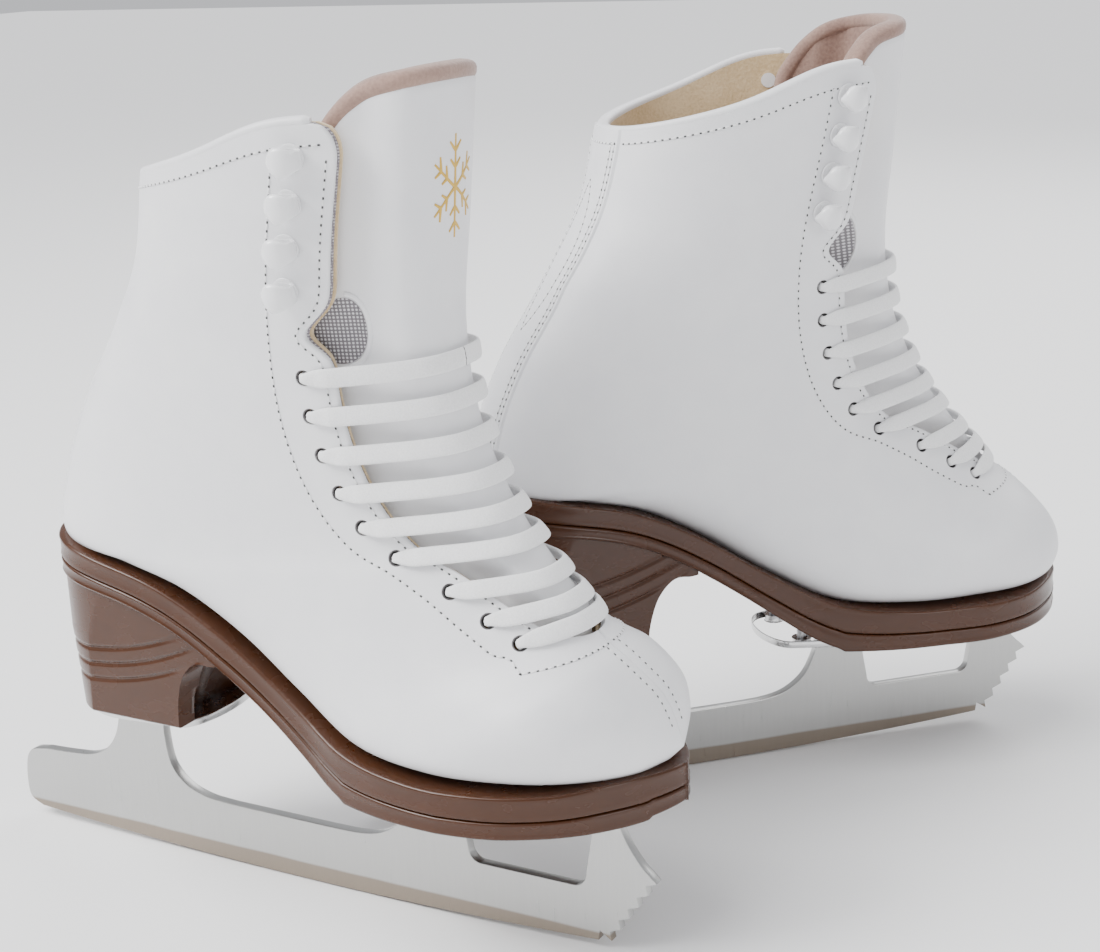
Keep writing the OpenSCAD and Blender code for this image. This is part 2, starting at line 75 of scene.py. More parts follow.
bpy.context.scene.collection.objects.link(camera)
camera_data.lens = 64.0
camera_data.clip_start = 0.01
camera_azimuth = math.radians(29.9)
camera_pitch = math.radians(16.2)
camera_roll = math.radians(-2.5)
camera.location = (0.376, -0.638, 0.345)
camera.rotation_euler = (
    Matrix.Rotation(camera_azimuth, 3, "Z")
    @ Matrix.Rotation(math.radians(90) - camera_pitch, 3, "X")
    @ Matrix.Rotation(camera_roll, 3, "Z")
).to_euler()
bpy.context.scene.camera = camera

# ---------------------------------------------------------------------------------------------
# Blades. Each is one 4 mm steel plate with three stanchions, a ground edge and six toe picks.
# Its sides are satin, its edges are polished, and below about 6 mm above the floor the steel is painted
# darker and warmer, as painted shade near the ice.
# ---------------------------------------------------------------------------------------------
MM = 0.001
SIDES = ("right", "left")
blade_half = 2.0
yaw = {"right": 0.0, "left": math.radians(45)}
tail = {}
for side in SIDES:
    low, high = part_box(side + "_blade")
    slant = blade_half * MM * math.sin(yaw[side])
    tail[side] = (low.x + slant, low.y + (slant if slant else blade_half * MM))


def placed(points, side):
    """Points of a skate's own frame, in mm from the blade's tail, in the pair's frame in metres."""
    p = np.array(points, float).reshape(-1, 3)
    y = p[:, 1] * (-1 if side == "left" else 1)
    c, s = math.cos(yaw[side]), math.sin(yaw[side])
    x0, y0 = tail[side]
    return np.stack([x0 + (p[:, 0] * c - y * s) * MM, y0 + (p[:, 0] * s + y * c) * MM, p[:, 2] * MM], -1)


def six_times_volume(v, faces):
    """Signed size of a closed mesh, to tell whether its faces look out."""
    total = 0.0
    for size in (3, 4):
        f = np.array([q for q in faces if len(q) == size], int)
        if len(f):
            a, b, c = v[f[:, 0]], v[f[:, 1]], v[f[:, 2]]
            total += np.einsum("ij,ij->i", a, np.cross(b, c)).sum()
            if size == 4:
                d = v[f[:, 3]]
                total += np.einsum("ij,ij->i", a, np.cross(c, d)).sum()
    return total


def make_piece(name, points, faces, side, material, slot_name, body="skate", sharp=38, stands_for=()):
    """A closed mesh from points in a skate's own frame, riding on that skate."""
    v = placed(points, side)
    faces = [list(map(int, q)) for q in faces]
    if six_times_volume(v - v.mean(0), faces) < 0:
        faces = [q[::-1] for q in faces]
    mesh = bpy.data.meshes.new(f"{side}_{name}")
    mesh.from_pydata(v.tolist(), [], faces)
    mesh.validate()
    mesh.shade_smooth()
    mesh.set_sharp_from_angle(angle=math.radians(sharp))
    piece = bpy.data.objects.new(f"{side}_{name}", mesh)
    bpy.context.scene.collection.objects.link(piece)
    piece.data.materials.append(material)
    if body:
        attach(piece, f"{side}_{body}")
    if stands_for:
        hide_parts(*[f"{side}_{n}" for n in stands_for])
    return piece


def grid_faces(rows, cols, start=0, wrap=False):
    """Quads of a grid of points laid out row by row; wrap joins the last column to the first."""
    i, j = np.meshgrid(np.arange(rows - 1), np.arange(cols if wrap else cols - 1), indexing="ij")
    k = (j + 1) % cols
    quads = np.stack([i * cols + j, i * cols + k, (i + 1) * cols + k, (i + 1) * cols + j], -1)
    return (quads.reshape(-1, 4) + start).tolist()


def table_at(table, u):
    """Catmull-Rom value of a table at places counted in rows, straight past either end."""
    t = np.asarray(table, float)
    rows = np.vstack([3 * t[0] - 2 * t[1], 2 * t[0] - t[1], t, 2 * t[-1] - t[-2], 3 * t[-1] - 2 * t[-2]])
    u = np.asarray(u, float)
    i = np.clip(np.floor(u).astype(int), -1, len(t) - 1)
    w = (u - i)[..., None]
    p, q, r, s = rows[i + 1], rows[i + 2], rows[i + 3], rows[i + 4]
    return 0.5 * (2 * q + (r - p) * w + (2 * p - 5 * q + 4 * r - s) * w**2 + (3 * q - p - 3 * r + s) * w**3)


def through(points, per_span=8):
    """A smooth open line through given points."""
    n = len(points) - 1
    return table_at(points, np.linspace(0, n, n * per_span + 1)).tolist()


def new_material(name, colour, roughness, metallic=0.0, **sockets):
    """A Principled material; returns it with its nodes, links, shader and object coordinates."""
    material = bpy.data.materials.new(name)
    material.use_nodes = True
    nodes, links = material.node_tree.nodes, material.node_tree.links
    shader = nodes["Principled BSDF"]
    shader.inputs["Base Color"].default_value = (*colour, 1)
    shader.inputs["Roughness"].default_value = roughness
    shader.inputs["Metallic"].default_value = metallic
    for socket, value in sockets.items():
        shader.inputs[socket.replace("_", " ")].default_value = value
    coords = nodes.new("ShaderNodeTexCoord").outputs["Object"]
    return material, nodes, links, shader, coords


def noise(nodes, links, coords, scale, detail=3.0, stretch=(1, 1, 1), roughness=0.5):
    mapping = nodes.new("ShaderNodeMapping")
    mapping.inputs["Scale"].default_value = stretch
    links.new(coords, mapping.inputs["Vector"])
    texture = nodes.new("ShaderNodeTexNoise")
    texture.inputs["Scale"].default_value = scale
    texture.inputs["Detail"].default_value = detail
    texture.inputs["Roughness"].default_value = roughness
    links.new(mapping.outputs["Vector"], texture.inputs["Vector"])
    return texture.outputs["Fac"]


def ramp(nodes, links, value, stops):
    """A colour or a grey that follows value; stops are (place, colour)."""
    node = nodes.new("ShaderNodeValToRGB")
    elements = node.color_ramp.elements
    while len(elements) < len(stops):
        elements.new(0.5)
    for element, (place, colour) in zip(elements, stops):
        element.position = place
        element.color = (*colour, 1) if len(colour) == 3 else colour
    links.new(value, node.inputs["Fac"])
    return node.outputs["Color"]


def tint(nodes, links, shader, value, stops, socket="Base Color"):
    """Lets a shader's socket follow a texture through a ramp."""
    links.new(ramp(nodes, links, value, stops), shader.inputs[socket])


def bump(nodes, links, shader, height, strength, distance, under=None):
    node = nodes.new("ShaderNodeBump")
    node.inputs["Strength"].default_value = strength
    node.inputs["Distance"].default_value = distance
    links.new(height, node.inputs["Height"])
    if under is not None:
        links.new(under, node.inputs["Normal"])
    links.new(node.outputs["Normal"], shader.inputs["Normal"])
    return node.outputs["Normal"]


def grey(v):
    return (v, v, v)


def blade_steel():
    material, nodes, links, shader, coords = new_material("blade_steel", (0.6, 0.6, 0.6), 0.3, 1.0)
    streaks = noise(nodes, links, coords, 900, 4, (1, 1, 0.06))
    cloud = noise(nodes, links, coords, 22, 2)
    # Painted shade: below about 6 mm above the floor the steel turns darker and warmer, with a noisy
    # boundary.
    height = nodes.new("ShaderNodeSeparateXYZ")
    links.new(coords, height.inputs["Vector"])
    wobble = nodes.new("ShaderNodeMath")
    wobble.operation = "MULTIPLY_ADD"
    links.new(cloud, wobble.inputs[0])
    wobble.inputs[1].default_value = -0.0012
    links.new(height.outputs["Z"], wobble.inputs[2])
    band = nodes.new("ShaderNodeMapRange")
    band.inputs["From Min"].default_value = 0.0056
    band.inputs["From Max"].default_value = 0.0066
    links.new(wobble.outputs[0], band.inputs["Value"])
    painted_shade_band = ramp(nodes, links, band.outputs["Result"], [(0, (0.3, 0.255, 0.21)), (1, (0.5, 0.5, 0.49))])
    shade = ramp(nodes, links, streaks, [(0.3, grey(0.95)), (0.7, grey(1.0))])
    mix = nodes.new("ShaderNodeMix")
    mix.data_type = "RGBA"
    mix.blend_type = "MULTIPLY"
    mix.inputs["Factor"].default_value = 1.0
    links.new(painted_shade_band, mix.inputs["A"])
    links.new(shade, mix.inputs["B"])
    links.new(mix.outputs["Result"], shader.inputs["Base Color"])
    tint(nodes, links, shader, streaks, [(0.25, grey(0.26)), (0.75, grey(0.4))], "Roughness")
    bump(nodes, links, shader, streaks, 0.05, 0.0002)
    return material


steel = blade_steel()
rocker_r = 2100.0
balance_x = 135.0
pick_count = 6
drag_pick = np.array([267.0, 4.5])
top_pick = np.array([285.0, 30.0])


def blade_outline():
    """The blade's edge, from its tail along the ice, up the toe picks and back over the stanchions."""
    bottom = [[x, (x - balance_x) ** 2 / (2 * rocker_r)] for x in np.linspace(7, 262, 90)]
    teeth = []
    for i in range(pick_count):
        step = (top_pick - drag_pick) / (pick_count - 1)
        teeth.append((drag_pick + step * i).tolist())
        if i < pick_count - 1:
            teeth.append((drag_pick + step * (i + 0.55) + [-2.6, 0.6]).tolist())
    toe = through([[283.6, 31.5], [279, 36], [274.5, 42.5], [272, 48], [271, 52]])
    mid = through([[189, 52], [188.4, 46], [186.6, 40], [182, 32], [174, 26.4], [164, 24.2], [150, 23.8]])
    rear = through([[106, 23.8], [94, 24.6], [84, 28], [77.6, 35], [75.6, 45], [75.8, 54], [78, 62]])
    back = through([[54, 62], [53.6, 54], [51, 44], [45.5, 36.4], [37, 32.2], [26, 30.8], [12, 30]])
    heel = through([[12, 30], [5, 28.4], [1.6, 24.4], [0.2, 17], [0.3, 9.5], [2, 6.2], [7, 3.9]])
    return bottom + [[262.6, 7.5]] + teeth + toe + mid + rear + back + heel[1:-1]


def window_outline():
    """The closed window under the sole plate: four rounded corners joined by straight edges."""
    corners = [(216, 28, 5, 180), (253, 28, 5, 270), (257, 44.5, 4, 0), (212, 44.5, 4, 90)]
    points = []
    for x, z, r, start in corners:
        for k in range(9):
            a = math.radians(start + 90 * k / 8)
            points.append([x + r * math.cos(a), z + r * math.sin(a)])
    return points


def plate_from_outline(outlines, thickness, edge):
    """Vertices and faces of a flat plate with softened edges; the first outline is its outside."""
    curve = bpy.data.curves.new("plate", "CURVE")
    curve.dimensions = "2D"
    curve.fill_mode = "BOTH"
    curve.extrude = thickness / 2 - edge
    curve.bevel_depth = edge
    curve.bevel_resolution = 1
    curve.offset = -edge
    for outline in outlines:
        spline = curve.splines.new("POLY")
        spline.points.add(len(outline) - 1)
        for point, (x, y) in zip(spline.points, outline):
            point.co = (x, y, 0, 1)
        spline.use_cyclic_u = True
    flat = bpy.data.objects.new("plate", curve)
    mesh = bpy.data.meshes.new_from_object(flat)
    v = np.array([w.co for w in mesh.vertices], float)
    faces = [list(p.vertices) for p in mesh.polygons]
    bpy.data.objects.remove(flat)
    bpy.data.curves.remove(curve)
    bpy.data.meshes.remove(mesh)
    return v, faces


plate_edge = 0.3
for side in SIDES:
    v, faces = plate_from_outline([blade_outline(), window_outline()], 2 * blade_half, plate_edge)
    make_piece("blade_steel", v[:, [0, 2, 1]], faces, side, steel, "blade_steel", stands_for=["blade"])

# ---------------------------------------------------------------------------------------------
# Mounting plates and their screws. Each plate is 3 mm polished steel, brazed to the stanchions
# and screwed up into the sole through countersunk holes.
# ---------------------------------------------------------------------------------------------
plate_t = 3.0
sole_plate_z = 52.0
heel_plate_z = 62.0
sole_screw_at = [(176, 15), (196, 23), (222, 27), (248, 23), (266, 13)]
heel_screw_at = [(58, 13), (78, 18), (98, 15)]
screw_head_r = 3.6
screw_sink = 0.05


def polished_steel(name, colour, roughness):
    material, nodes, links, shader, coords = new_material(name, colour, roughness, 1.0)
    fine = noise(nodes, links, coords, 420, 3)
    shades = [(0.3, grey(roughness - 0.06)), (0.7, grey(roughness + 0.1))]
    tint(nodes, links, shader, fine, shades, "Roughness")
    bump(nodes, links, shader, fine, 0.05, 0.0002)
    return material


def round_hull(circles):
    """Outline round circles given as (x, half-length, half-width)."""
    points = [Vector((x + a * math.cos(t), b * math.sin(t)))
              for x, a, b in circles for t in np.linspace(0, 2 * math.pi, 49)[:-1]]
    return [list(points[i]) for i in convex_hull_2d(points)]


def circle(x, y, r, count=24):
    return [[x + r * math.cos(t), y + r * math.sin(t)] for t in np.linspace(0, 2 * math.pi, count + 1)[:-1]]


def lathe(profile, count=32):
    """A turned solid round z from a closed or axis-to-axis profile of (radius, z)."""
    turn = np.linspace(0, 2 * math.pi, count + 1)[:-1]
    ring = np.array([[r * math.cos(t), r * math.sin(t), z] for r, z in profile for t in turn])
    faces = grid_faces(len(profile), count, wrap=True)
    faces.append(list(range(count)))
    faces.append([(len(profile) - 1) * count + k for k in range(count)][::-1])
    return ring, faces


plate_polish = polished_steel("plate_polish", (0.66, 0.66, 0.66), 0.2)
screw_polish = polished_steel("screw_polish", (0.42, 0.42, 0.43), 0.32)
sole_plate_shape = round_hull([(172, 9.5, 19), (222, 32, 32), (262, 14, 20)])
heel_plate_shape = round_hull([(72, 24, 24), (101, 7.35, 21)])


def plate_piece(name, shape, places, z, side):
    holes = [circle(x, s * y, screw_head_r + 0.15) for x, y in places for s in (-1, 1)]
    v, faces = plate_from_outline([shape] + holes, plate_t, 0.35)
    v = v + [0, 0, z + plate_t / 2]
    make_piece(name + "_steel", v, faces, side, plate_polish, "plate_steel", stands_for=[name])


def screw_piece(name, places, z, side):
    """Domed heads with a round driver recess, on plain shanks."""
    points, faces = [], []
    head = [(0.01, 0.55), (1.1, 0.5), (1.2, 0.05), (2.6, 0.12), (3.3, 0.4), (3.6, 0.9), (3.6, 1.3), (2, 1.3),
            (2, 11.5), (0.01, 12)]
    shape, shape_faces = lathe(head, 24)
    for x, y in places:
        for s in (-1, 1):
            start = len(points)
            points.extend((shape + [x, s * y, z - screw_sink]).tolist())
            faces.extend([[i + start for i in f] for f in shape_faces])
    make_piece(name + "_steel", points, faces, side, screw_polish, "screw_steel", stands_for=[name])


for side in SIDES:
    plate_piece("sole_plate", sole_plate_shape, sole_screw_at, sole_plate_z, side)
    plate_piece("heel_plate", heel_plate_shape, heel_screw_at, heel_plate_z, side)
    screw_piece("sole_screws", sole_screw_at, sole_plate_z, side)
    screw_piece("heel_screws", heel_screw_at, heel_plate_z, side)

# ---------------------------------------------------------------------------------------------
# Upper leather. Two halves of smooth white side leather, lasted round the foot and joined at the
# back and down the toe. Sections fan round the foot from the collar (0) through the heel (5)
# to the toe (15), as in the frame: back or bottom x, z, front or top x, z, half-width, place of
# the widest point, squareness of the back and of the front, and shift to the inner side.
# ---------------------------------------------------------------------------------------------
sections = [
    [103, 264, 223, 287, 43, 0.47, 2.2, 2.3, 0],
    [95, 235, 220, 251, 40, 0.47, 2.2, 2.3, 0],
    [79, 206, 217.5, 218, 37, 0.46, 2.3, 2.3, 0],
    [61, 178, 221, 190, 35.5, 0.45, 2.3, 2.2, 0],
    [50, 152, 230, 167, 34.5, 0.42, 2.4, 2.1, 0],
    [49, 131, 240, 150, 34, 0.38, 2.8, 2.1, 0],
    [75, 126, 247, 141, 34.5, 0.36, 3, 2.1, 0],
    [103, 119, 253, 133, 34.5, 0.36, 3, 2.1, 0],
    [130, 105, 259, 126, 35, 0.38, 3, 2.1, 0],
    [155, 88, 264, 119, 37.5, 0.4, 3, 2.15, 0],
    [182, 73, 269, 114.5, 42, 0.42, 3.2, 2.2, 0],
    [212, 68.5, 274.5, 110, 44, 0.42, 3.2, 2.3, 1],
    [240, 68, 280, 104, 40.5, 0.42, 3.2, 2.3, 3],
    [262, 68, 285, 97, 32.5, 0.42, 3, 2.3, 6],
    [279, 69.5, 288, 89, 20, 0.45, 2.8, 2.3, 8],
    [288, 73, 290, 81, 6, 0.5, 2.3, 2.3, 9],
]
gaps = [[35], [34], [31], [28.5], [26], [23.5], [21.5], [19.5], [17.5], [14]]
throat_end = 9.3
notch_at, notch_spread, notch_depth = 1.94, 0.22, 9.0
corner_r = 9.0
crest_h, crest_at = 5.0, 0.62
toe_tip = np.array([291.0, 9.0, 77.0])
leather_t, stiffener_t, lining_t = 2.0, 1.2, 1.4
stiff_in = leather_t + stiffener_t
inside_t = stiff_in + lining_t
hook_rows = [0.24, 0.6, 1, 1.44]
eyelet_rows = [8.65, 7.8, 6.7, 5.36, 4.6, 4, 3.43, 2.9, 2.42]
eyelet_inset, hook_inset, stay_width = 11.0, 15.0, 21.0


def skin(u, a):
    """The outer skin on section u at angle a in degrees: 0 at the back or bottom, 180 at the front or top."""
    u, a = np.broadcast_arrays(np.asarray(u, float), np.asarray(a, float))
    s = table_at(sections, u)
    c, n = np.cos(np.radians(a)), np.sin(np.radians(a))
    low = c >= 0
    e = 2 / np.where(low, s[..., 6], s[..., 7])
    q = np.abs(c) ** e
    f = np.where(low, s[..., 5] * (1 - q), s[..., 5] + (1 - s[..., 5]) * q)
    crest = crest_h * np.maximum(0, 1 - np.maximum(0, u)) ** 2 * np.exp(-(((f - crest_at) / 0.2) ** 2))
    x = s[..., 0] + f * (s[..., 2] - s[..., 0])
    z = s[..., 1] + f * (s[..., 3] - s[..., 1]) + crest
    return np.stack([x, s[..., 8] + s[..., 4] * np.sign(n) * np.abs(n) ** e, z], -1)


def outward(u, a):
    across = skin(u, a + 1) - skin(u, a - 1)
    along = skin(u + 0.02, a) - skin(u - 0.02, a)
    n = np.cross(across, along)
    return n / np.linalg.norm(n, axis=-1, keepdims=True)


def layer(u, a, t):
    u, a, t = np.broadcast_arrays(np.asarray(u, float), np.asarray(a, float), np.asarray(t, float))
    return skin(u, a) - t[..., None] * outward(u, a)


def throat_angle(u):
    u = np.asarray(u, float)
    s = table_at(sections, u)
    half = table_at(gaps, np.clip(u, 0, 9))[..., 0] * np.sqrt(np.clip((throat_end - u) / 0.5, 0, 1))
    a = 180 - np.degrees(np.arcsin(np.minimum(1, half / s[..., 4]) ** (s[..., 7] / 2)))
    return np.where(u >= throat_end, 180, a)


def back_off(u, a, distance):
    """The angle a distance behind angle a along the skin, by halving the interval."""
    u, a, distance = np.broadcast_arrays(*(np.asarray(w, float) for w in (u, a, distance)))
    low, high = np.zeros(u.shape), np.full(u.shape, 75.0)
    for _ in range(16):
        mid = (low + high) / 2
        far = np.linalg.norm(skin(u, a - mid) - skin(u, a), axis=-1) > distance
        high, low = np.where(far, mid, high), np.where(far, low, mid)
    return a - (low + high) / 2


def edge_angle(u):
    u = np.asarray(u, float)
    a = throat_angle(u)
    notch = notch_depth * np.exp(-(((u - notch_at) / notch_spread) ** 2))
    notch = notch + corner_r - np.sqrt(corner_r**2 - np.clip(corner_r - 28 * u, 0, corner_r) ** 2)
    return np.where((u >= throat_end) | (notch < 0.05), a, back_off(u, a, notch))


def eyelet_angle(u):
    return back_off(u, throat_angle(u), eyelet_inset)


def hook_angle(u):
    return back_off(u, throat_angle(u), hook_inset)


def two_sided(outer, inner):
    """A closed sheet between two grids of points of the same shape."""
    r, c = outer.shape[:2]
    m = r * c
    faces = grid_faces(r, c) + [q[::-1] for q in grid_faces(r, c, m)]
    rim = [i * c for i in range(r)] + [(r - 1) * c + j for j in range(1, c)]
    rim += [i * c + c - 1 for i in range(r - 2, -1, -1)] + list(range(c - 2, 0, -1))
    faces += [[p, q, q + m, p + m] for p, q in zip(rim, rim[1:] + rim[:1])]
    return np.vstack([outer.reshape(-1, 3), inner.reshape(-1, 3)]), faces


def shell(us, angles, t_out, t_in, tip=None):
    """A closed shell between two offsets of the skin, over a grid of angles; tip closes the toe."""
    rows, cols = angles.shape
    u = us[:, None]
    points, faces = two_sided(layer(u, angles, t_out), layer(u, angles, t_in))
    if tip is None:
        return points, faces
    n = rows * cols
    e = n - cols
    last_row = {frozenset((j, j + 1, j + 1 + n, j + n)) for j in range(e, n - 1)}
    faces = [q for q in faces if frozenset(q) not in last_row]
    o, p = 2 * n, 2 * n + 1
    for j in range(e, n - 1):
        faces += [[j, j + 1, o], [j + 1 + n, j + n, p]]
    faces += [[e, o, p, e + n], [n - 1, n - 1 + n, p, o]]
    return np.vstack([points, tip]), faces


def spaced(stops, counts):
    """Rows between stops, with a number of rows in each span."""
    parts = [np.linspace(a, b, n, endpoint=False) for a, b, n in zip(stops[:-1], stops[1:], counts)]
    return np.concatenate(parts + [[stops[-1]]])


half_rows = spaced([0, 0.06, 1.3, 2.6, 5, 9.0, throat_end, 13, 14.85], [4, 26, 44, 40, 60, 16, 44, 26])
half_cols = spaced([0, 0.9, 0.985, 1], [64, 12, 7])


def white_leather():
    material, nodes, links, shader, coords = new_material(
        "white_leather", (0.8, 0.8, 0.815), 0.42, Specular_IOR_Level=0.45)
    cells = nodes.new("ShaderNodeTexVoronoi")
    cells.inputs["Scale"].default_value = 1500
    links.new(coords, cells.inputs["Vector"])
    soft = noise(nodes, links, coords, 60, 4)
    pores = noise(nodes, links, coords, 2600, 2)
    tint(nodes, links, shader, soft, [(0.3, (0.785, 0.785, 0.805)), (0.7, (0.825, 0.825, 0.835))])
    tint(nodes, links, shader, soft, [(0.3, grey(0.36)), (0.7, grey(0.46))], "Roughness")
    first = bump(nodes, links, shader, cells.outputs["Distance"], 0.09, 0.0003)
    second = bump(nodes, links, shader, pores, 0.05, 0.0002, first)
    bump(nodes, links, shader, soft, 0.12, 0.0012, second)
    return material


leather = white_leather()
edge_round = 0.7


def rounded_depth(distance):
    """How far a cut edge is rounded in, a distance from the edge."""
    near = np.clip(1 - distance / edge_round, 0, 1)
    return edge_round * (1 - np.sqrt(1 - near**2))


def cut_holes(piece, side, inner):
    """Punches the eyelet and hook holes through one half of the upper."""
    turn = np.linspace(0, 2 * math.pi, 25)[:-1]
    points, faces = [], []
    spots = [(u, eyelet_angle(u), 2.8) for u in eyelet_rows] + [(u, hook_angle(u), 1.9) for u in hook_rows]
    for u, a, r in spots:
        a = inner * float(a)
        centre, n = skin(u, a), outward(u, a)
        e = np.cross(n, [0, 0, 1.0])
        e = e / np.linalg.norm(e)
        g = np.cross(n, e)
        start = len(points)
        for depth in (3.0, -(inside_t + 3.0)):
            for t in turn:
                points.append(centre + n * depth + r * (math.cos(t) * e + math.sin(t) * g))
        k = len(turn)
        faces += [[start + i, start + (i + 1) % k, start + k + (i + 1) % k, start + k + i] for i in range(k)]
        faces += [[start + i for i in range(k)][::-1], [start + k + i for i in range(k)]]
    v = placed(points, side)
    if six_times_volume(v - v[:2 * len(turn)].mean(0), faces[:len(turn)]) < 0:
        faces = [q[::-1] for q in faces]
    mesh = bpy.data.meshes.new("punch")
    mesh.from_pydata(v.tolist(), [], faces)
    punch = bpy.data.objects.new("punch", mesh)
    bpy.context.scene.collection.objects.link(punch)
    cut = piece.modifiers.new("holes", "BOOLEAN")
    cut.object = punch
    cut.operation = "DIFFERENCE"
    cut.solver = "EXACT"
    bpy.context.view_layer.update()
    done = bpy.data.meshes.new_from_object(piece.evaluated_get(bpy.context.evaluated_depsgraph_get()))
    piece.modifiers.clear()
    old = piece.data
    piece.data = done
    bpy.data.meshes.remove(old)
    bpy.data.objects.remove(punch)
    done.shade_smooth()
    done.set_sharp_from_angle(angle=math.radians(38))


def half_angles(inner, cols):
    return inner * cols[None, :] * edge_angle(half_rows)[:, None]


for side in SIDES:
    for half, inner in (("outer", -1), ("inner", 1)):
        angles = half_angles(inner, half_cols)
        to_edge = np.radians(np.abs(edge_angle(half_rows)[:, None] - np.abs(angles))) * 38
        to_back = np.radians(np.abs(angles)) * 30
        t_out = rounded_depth(np.minimum(to_edge, to_back))
        v, faces = shell(half_rows, angles, t_out, leather_t, [toe_tip, toe_tip - [leather_t, 0, 0]])
        quarter = make_piece(f"upper_{half}", v, faces, side, leather, "white_leather",
                             stands_for=[f"quarter_{half}"])
        cut_holes(quarter, side, inner)

# ---------------------------------------------------------------------------------------------
# Stitching. White polyester lock stitch, about nine to the inch, run 3 mm inside every cut edge.
# Each stitch lies proud between two small needle holes, each a flat near-black spot of painted shade.
# ---------------------------------------------------------------------------------------------
stitch_pitch = 2.9
stitch_gap = 0.14
thread_r = 0.27
pit_long, pit_wide, pit_deep = 0.62, 0.36, 0.5


def sweep(path, ups, wide, thick, sides=8, power=2.0):
    """A solid swept along a path; ups point out of its flat side, wide and thick are its half sizes."""
    p = np.asarray(path, float)
    n = len(p)
    t = np.gradient(p, axis=0)
    t /= np.linalg.norm(t, axis=1, keepdims=True)
    e = np.cross(t, np.broadcast_to(ups, (n, 3)))
    e /= np.linalg.norm(e, axis=1, keepdims=True)
    g = np.cross(e, t)
    a = np.linspace(0, 2 * math.pi, sides, endpoint=False) + math.pi / sides
    cx = np.sign(np.cos(a)) * np.abs(np.cos(a)) ** (2 / power)
    cy = np.sign(np.sin(a)) * np.abs(np.sin(a)) ** (2 / power)
    w = np.broadcast_to(wide, (n,))[:, None, None] * cx[None, :, None]
    h = np.broadcast_to(thick, (n,))[:, None, None] * cy[None, :, None]
    ring = p[:, None] + w * e[:, None] + h * g[:, None]
    faces = grid_faces(n, sides, wrap=True)
    faces += [list(range(sides))[::-1], [(n - 1) * sides + k for k in range(sides)]]
    return ring.reshape(-1, 3), faces


def joined(parts):
    """Several meshes as one list of points and faces."""
    points, faces, start = [], [], 0
    for v, f in parts:
        points.append(np.asarray(v, float))
        faces += [[i + start for i in q] for q in f]
        start += len(v)
    return np.vstack(points), faces


def by_length(path, step, *others):
    """A path resampled at even steps along its length, with other values carried along."""
    path = np.asarray(path, float)
    s = np.concatenate([[0], np.cumsum(np.linalg.norm(np.diff(path, axis=0), axis=1))])
    places = np.linspace(0, s[-1], max(2, int(round(s[-1] / step)) + 1))
    out = [np.stack([np.interp(places, s, q[:, k]) for k in range(q.shape[1])], -1)
           for q in (path, *[np.asarray(o, float) for o in others])]
    return out if others else out[0]


def stitches(us, angles, proud=0.0):
    """Stitches along a line on the skin, with a near-black spot of painted shade at each needle hole."""
    us, angles = np.broadcast_arrays(np.asarray(us, float), np.asarray(angles, float))
    path, normals = layer(us, angles, -proud), outward(us, angles)
    path, normals = by_length(path, stitch_pitch, normals)
    normals /= np.linalg.norm(normals, axis=1, keepdims=True)
    threads, pits = [], []
    shape = np.array([0, 0.16, 0.5, 0.84, 1])
    lift = np.array([-0.35, 0.12, 0.2, 0.12, -0.35])
    turn = np.linspace(0, 2 * math.pi, 8, endpoint=False)
    for a, b, na, nb in zip(path[:-1], path[1:], normals[:-1], normals[1:]):
        d = b - a
        first, last = a + stitch_gap * d, b - stitch_gap * d
        line = first + shape[:, None] * (last - first) + lift[:, None] * (na + nb) / 2
        threads.append(sweep(line, na, thread_r * 1.15, thread_r, 6))
    along = np.gradient(path, axis=0)
    # Painted shade: each needle hole is a flat near-black cap lying just proud of the skin.
    for a, n, e in zip(path, normals, along):
        e = e - n * np.dot(e, n)
        e /= np.linalg.norm(e)
        g = np.cross(n, e)
        ring = [a + 0.1 * n + pit_long * math.cos(t) * e + pit_wide * math.sin(t) * g for t in turn]
        pits.append((np.array(ring + [a - pit_deep * n]),
                     [list(range(8))] + [[(k + 1) % 8, k, 8] for k in range(8)]))
    return joined(threads), joined(pits)


def thread_cotton(name, colour):
    material, nodes, links, shader, coords = new_material(name, colour, 0.6, Sheen_Weight=0.15)
    twist = noise(nodes, links, coords, 3200, 2)
    bump(nodes, links, shader, twist, 0.4, 0.0002)
    return material


# Near-black with specks: painted shade standing for the inside of a needle hole.
def needle_hole_shade_paint():
    material, nodes, links, shader, coords = new_material("needle_hole_shade_paint", (0.05, 0.047, 0.047), 0.9)
    specks = noise(nodes, links, coords, 1500, 2)
    tint(nodes, links, shader, specks, [(0.3, grey(0.03)), (0.7, grey(0.13))])
    return material


white_thread = thread_cotton("white_thread", (0.85, 0.85, 0.85))
pit_painted_shade = needle_hole_shade_paint()
stitch_in = 3.2
stay_line = 22.0


def sew(name, rows, side, sharp=60):
    threads, pits = zip(*rows)
    make_piece(name + "_thread", *joined(threads), side, white_thread, "white_leather", sharp=sharp)
    make_piece(name + "_needle_holes", *joined(pits), side, pit_painted_shade, "white_leather", sharp=sharp)


top_line_u = 0.16
for side in SIDES:
    for half, inner in (("outer", -1), ("inner", 1)):
        u = np.linspace(0.3, 8.85, 220)
        a = back_off(u, edge_angle(u), stitch_in)
        facing_u = np.linspace(top_line_u, 9.6, 260)
        facing_a = back_off(facing_u, throat_angle(np.minimum(facing_u, 9.0)), stay_line)
        front = float(back_off(top_line_u, edge_angle(top_line_u), stitch_in + 1.5))
        rows = [stitches(u, inner * a),
                stitches(facing_u, inner * facing_a),
                stitches(np.full(90, top_line_u), inner * np.linspace(22, front, 90))]
        cap_a = np.linspace(float(facing_a[-1]), 178, 60)
        cap_u = 9.6 + 0.55 * np.sin(np.linspace(0, math.pi / 2, 60))
        rows.append(stitches(cap_u, inner * cap_a))
        seam_u = np.linspace(10.35, 14.4, 90)
        rows.append(stitches(seam_u, inner * (180 - np.degrees(3.0 / table_at(sections, seam_u)[..., 4]))))
        sew(f"upper_{half}", rows, side)

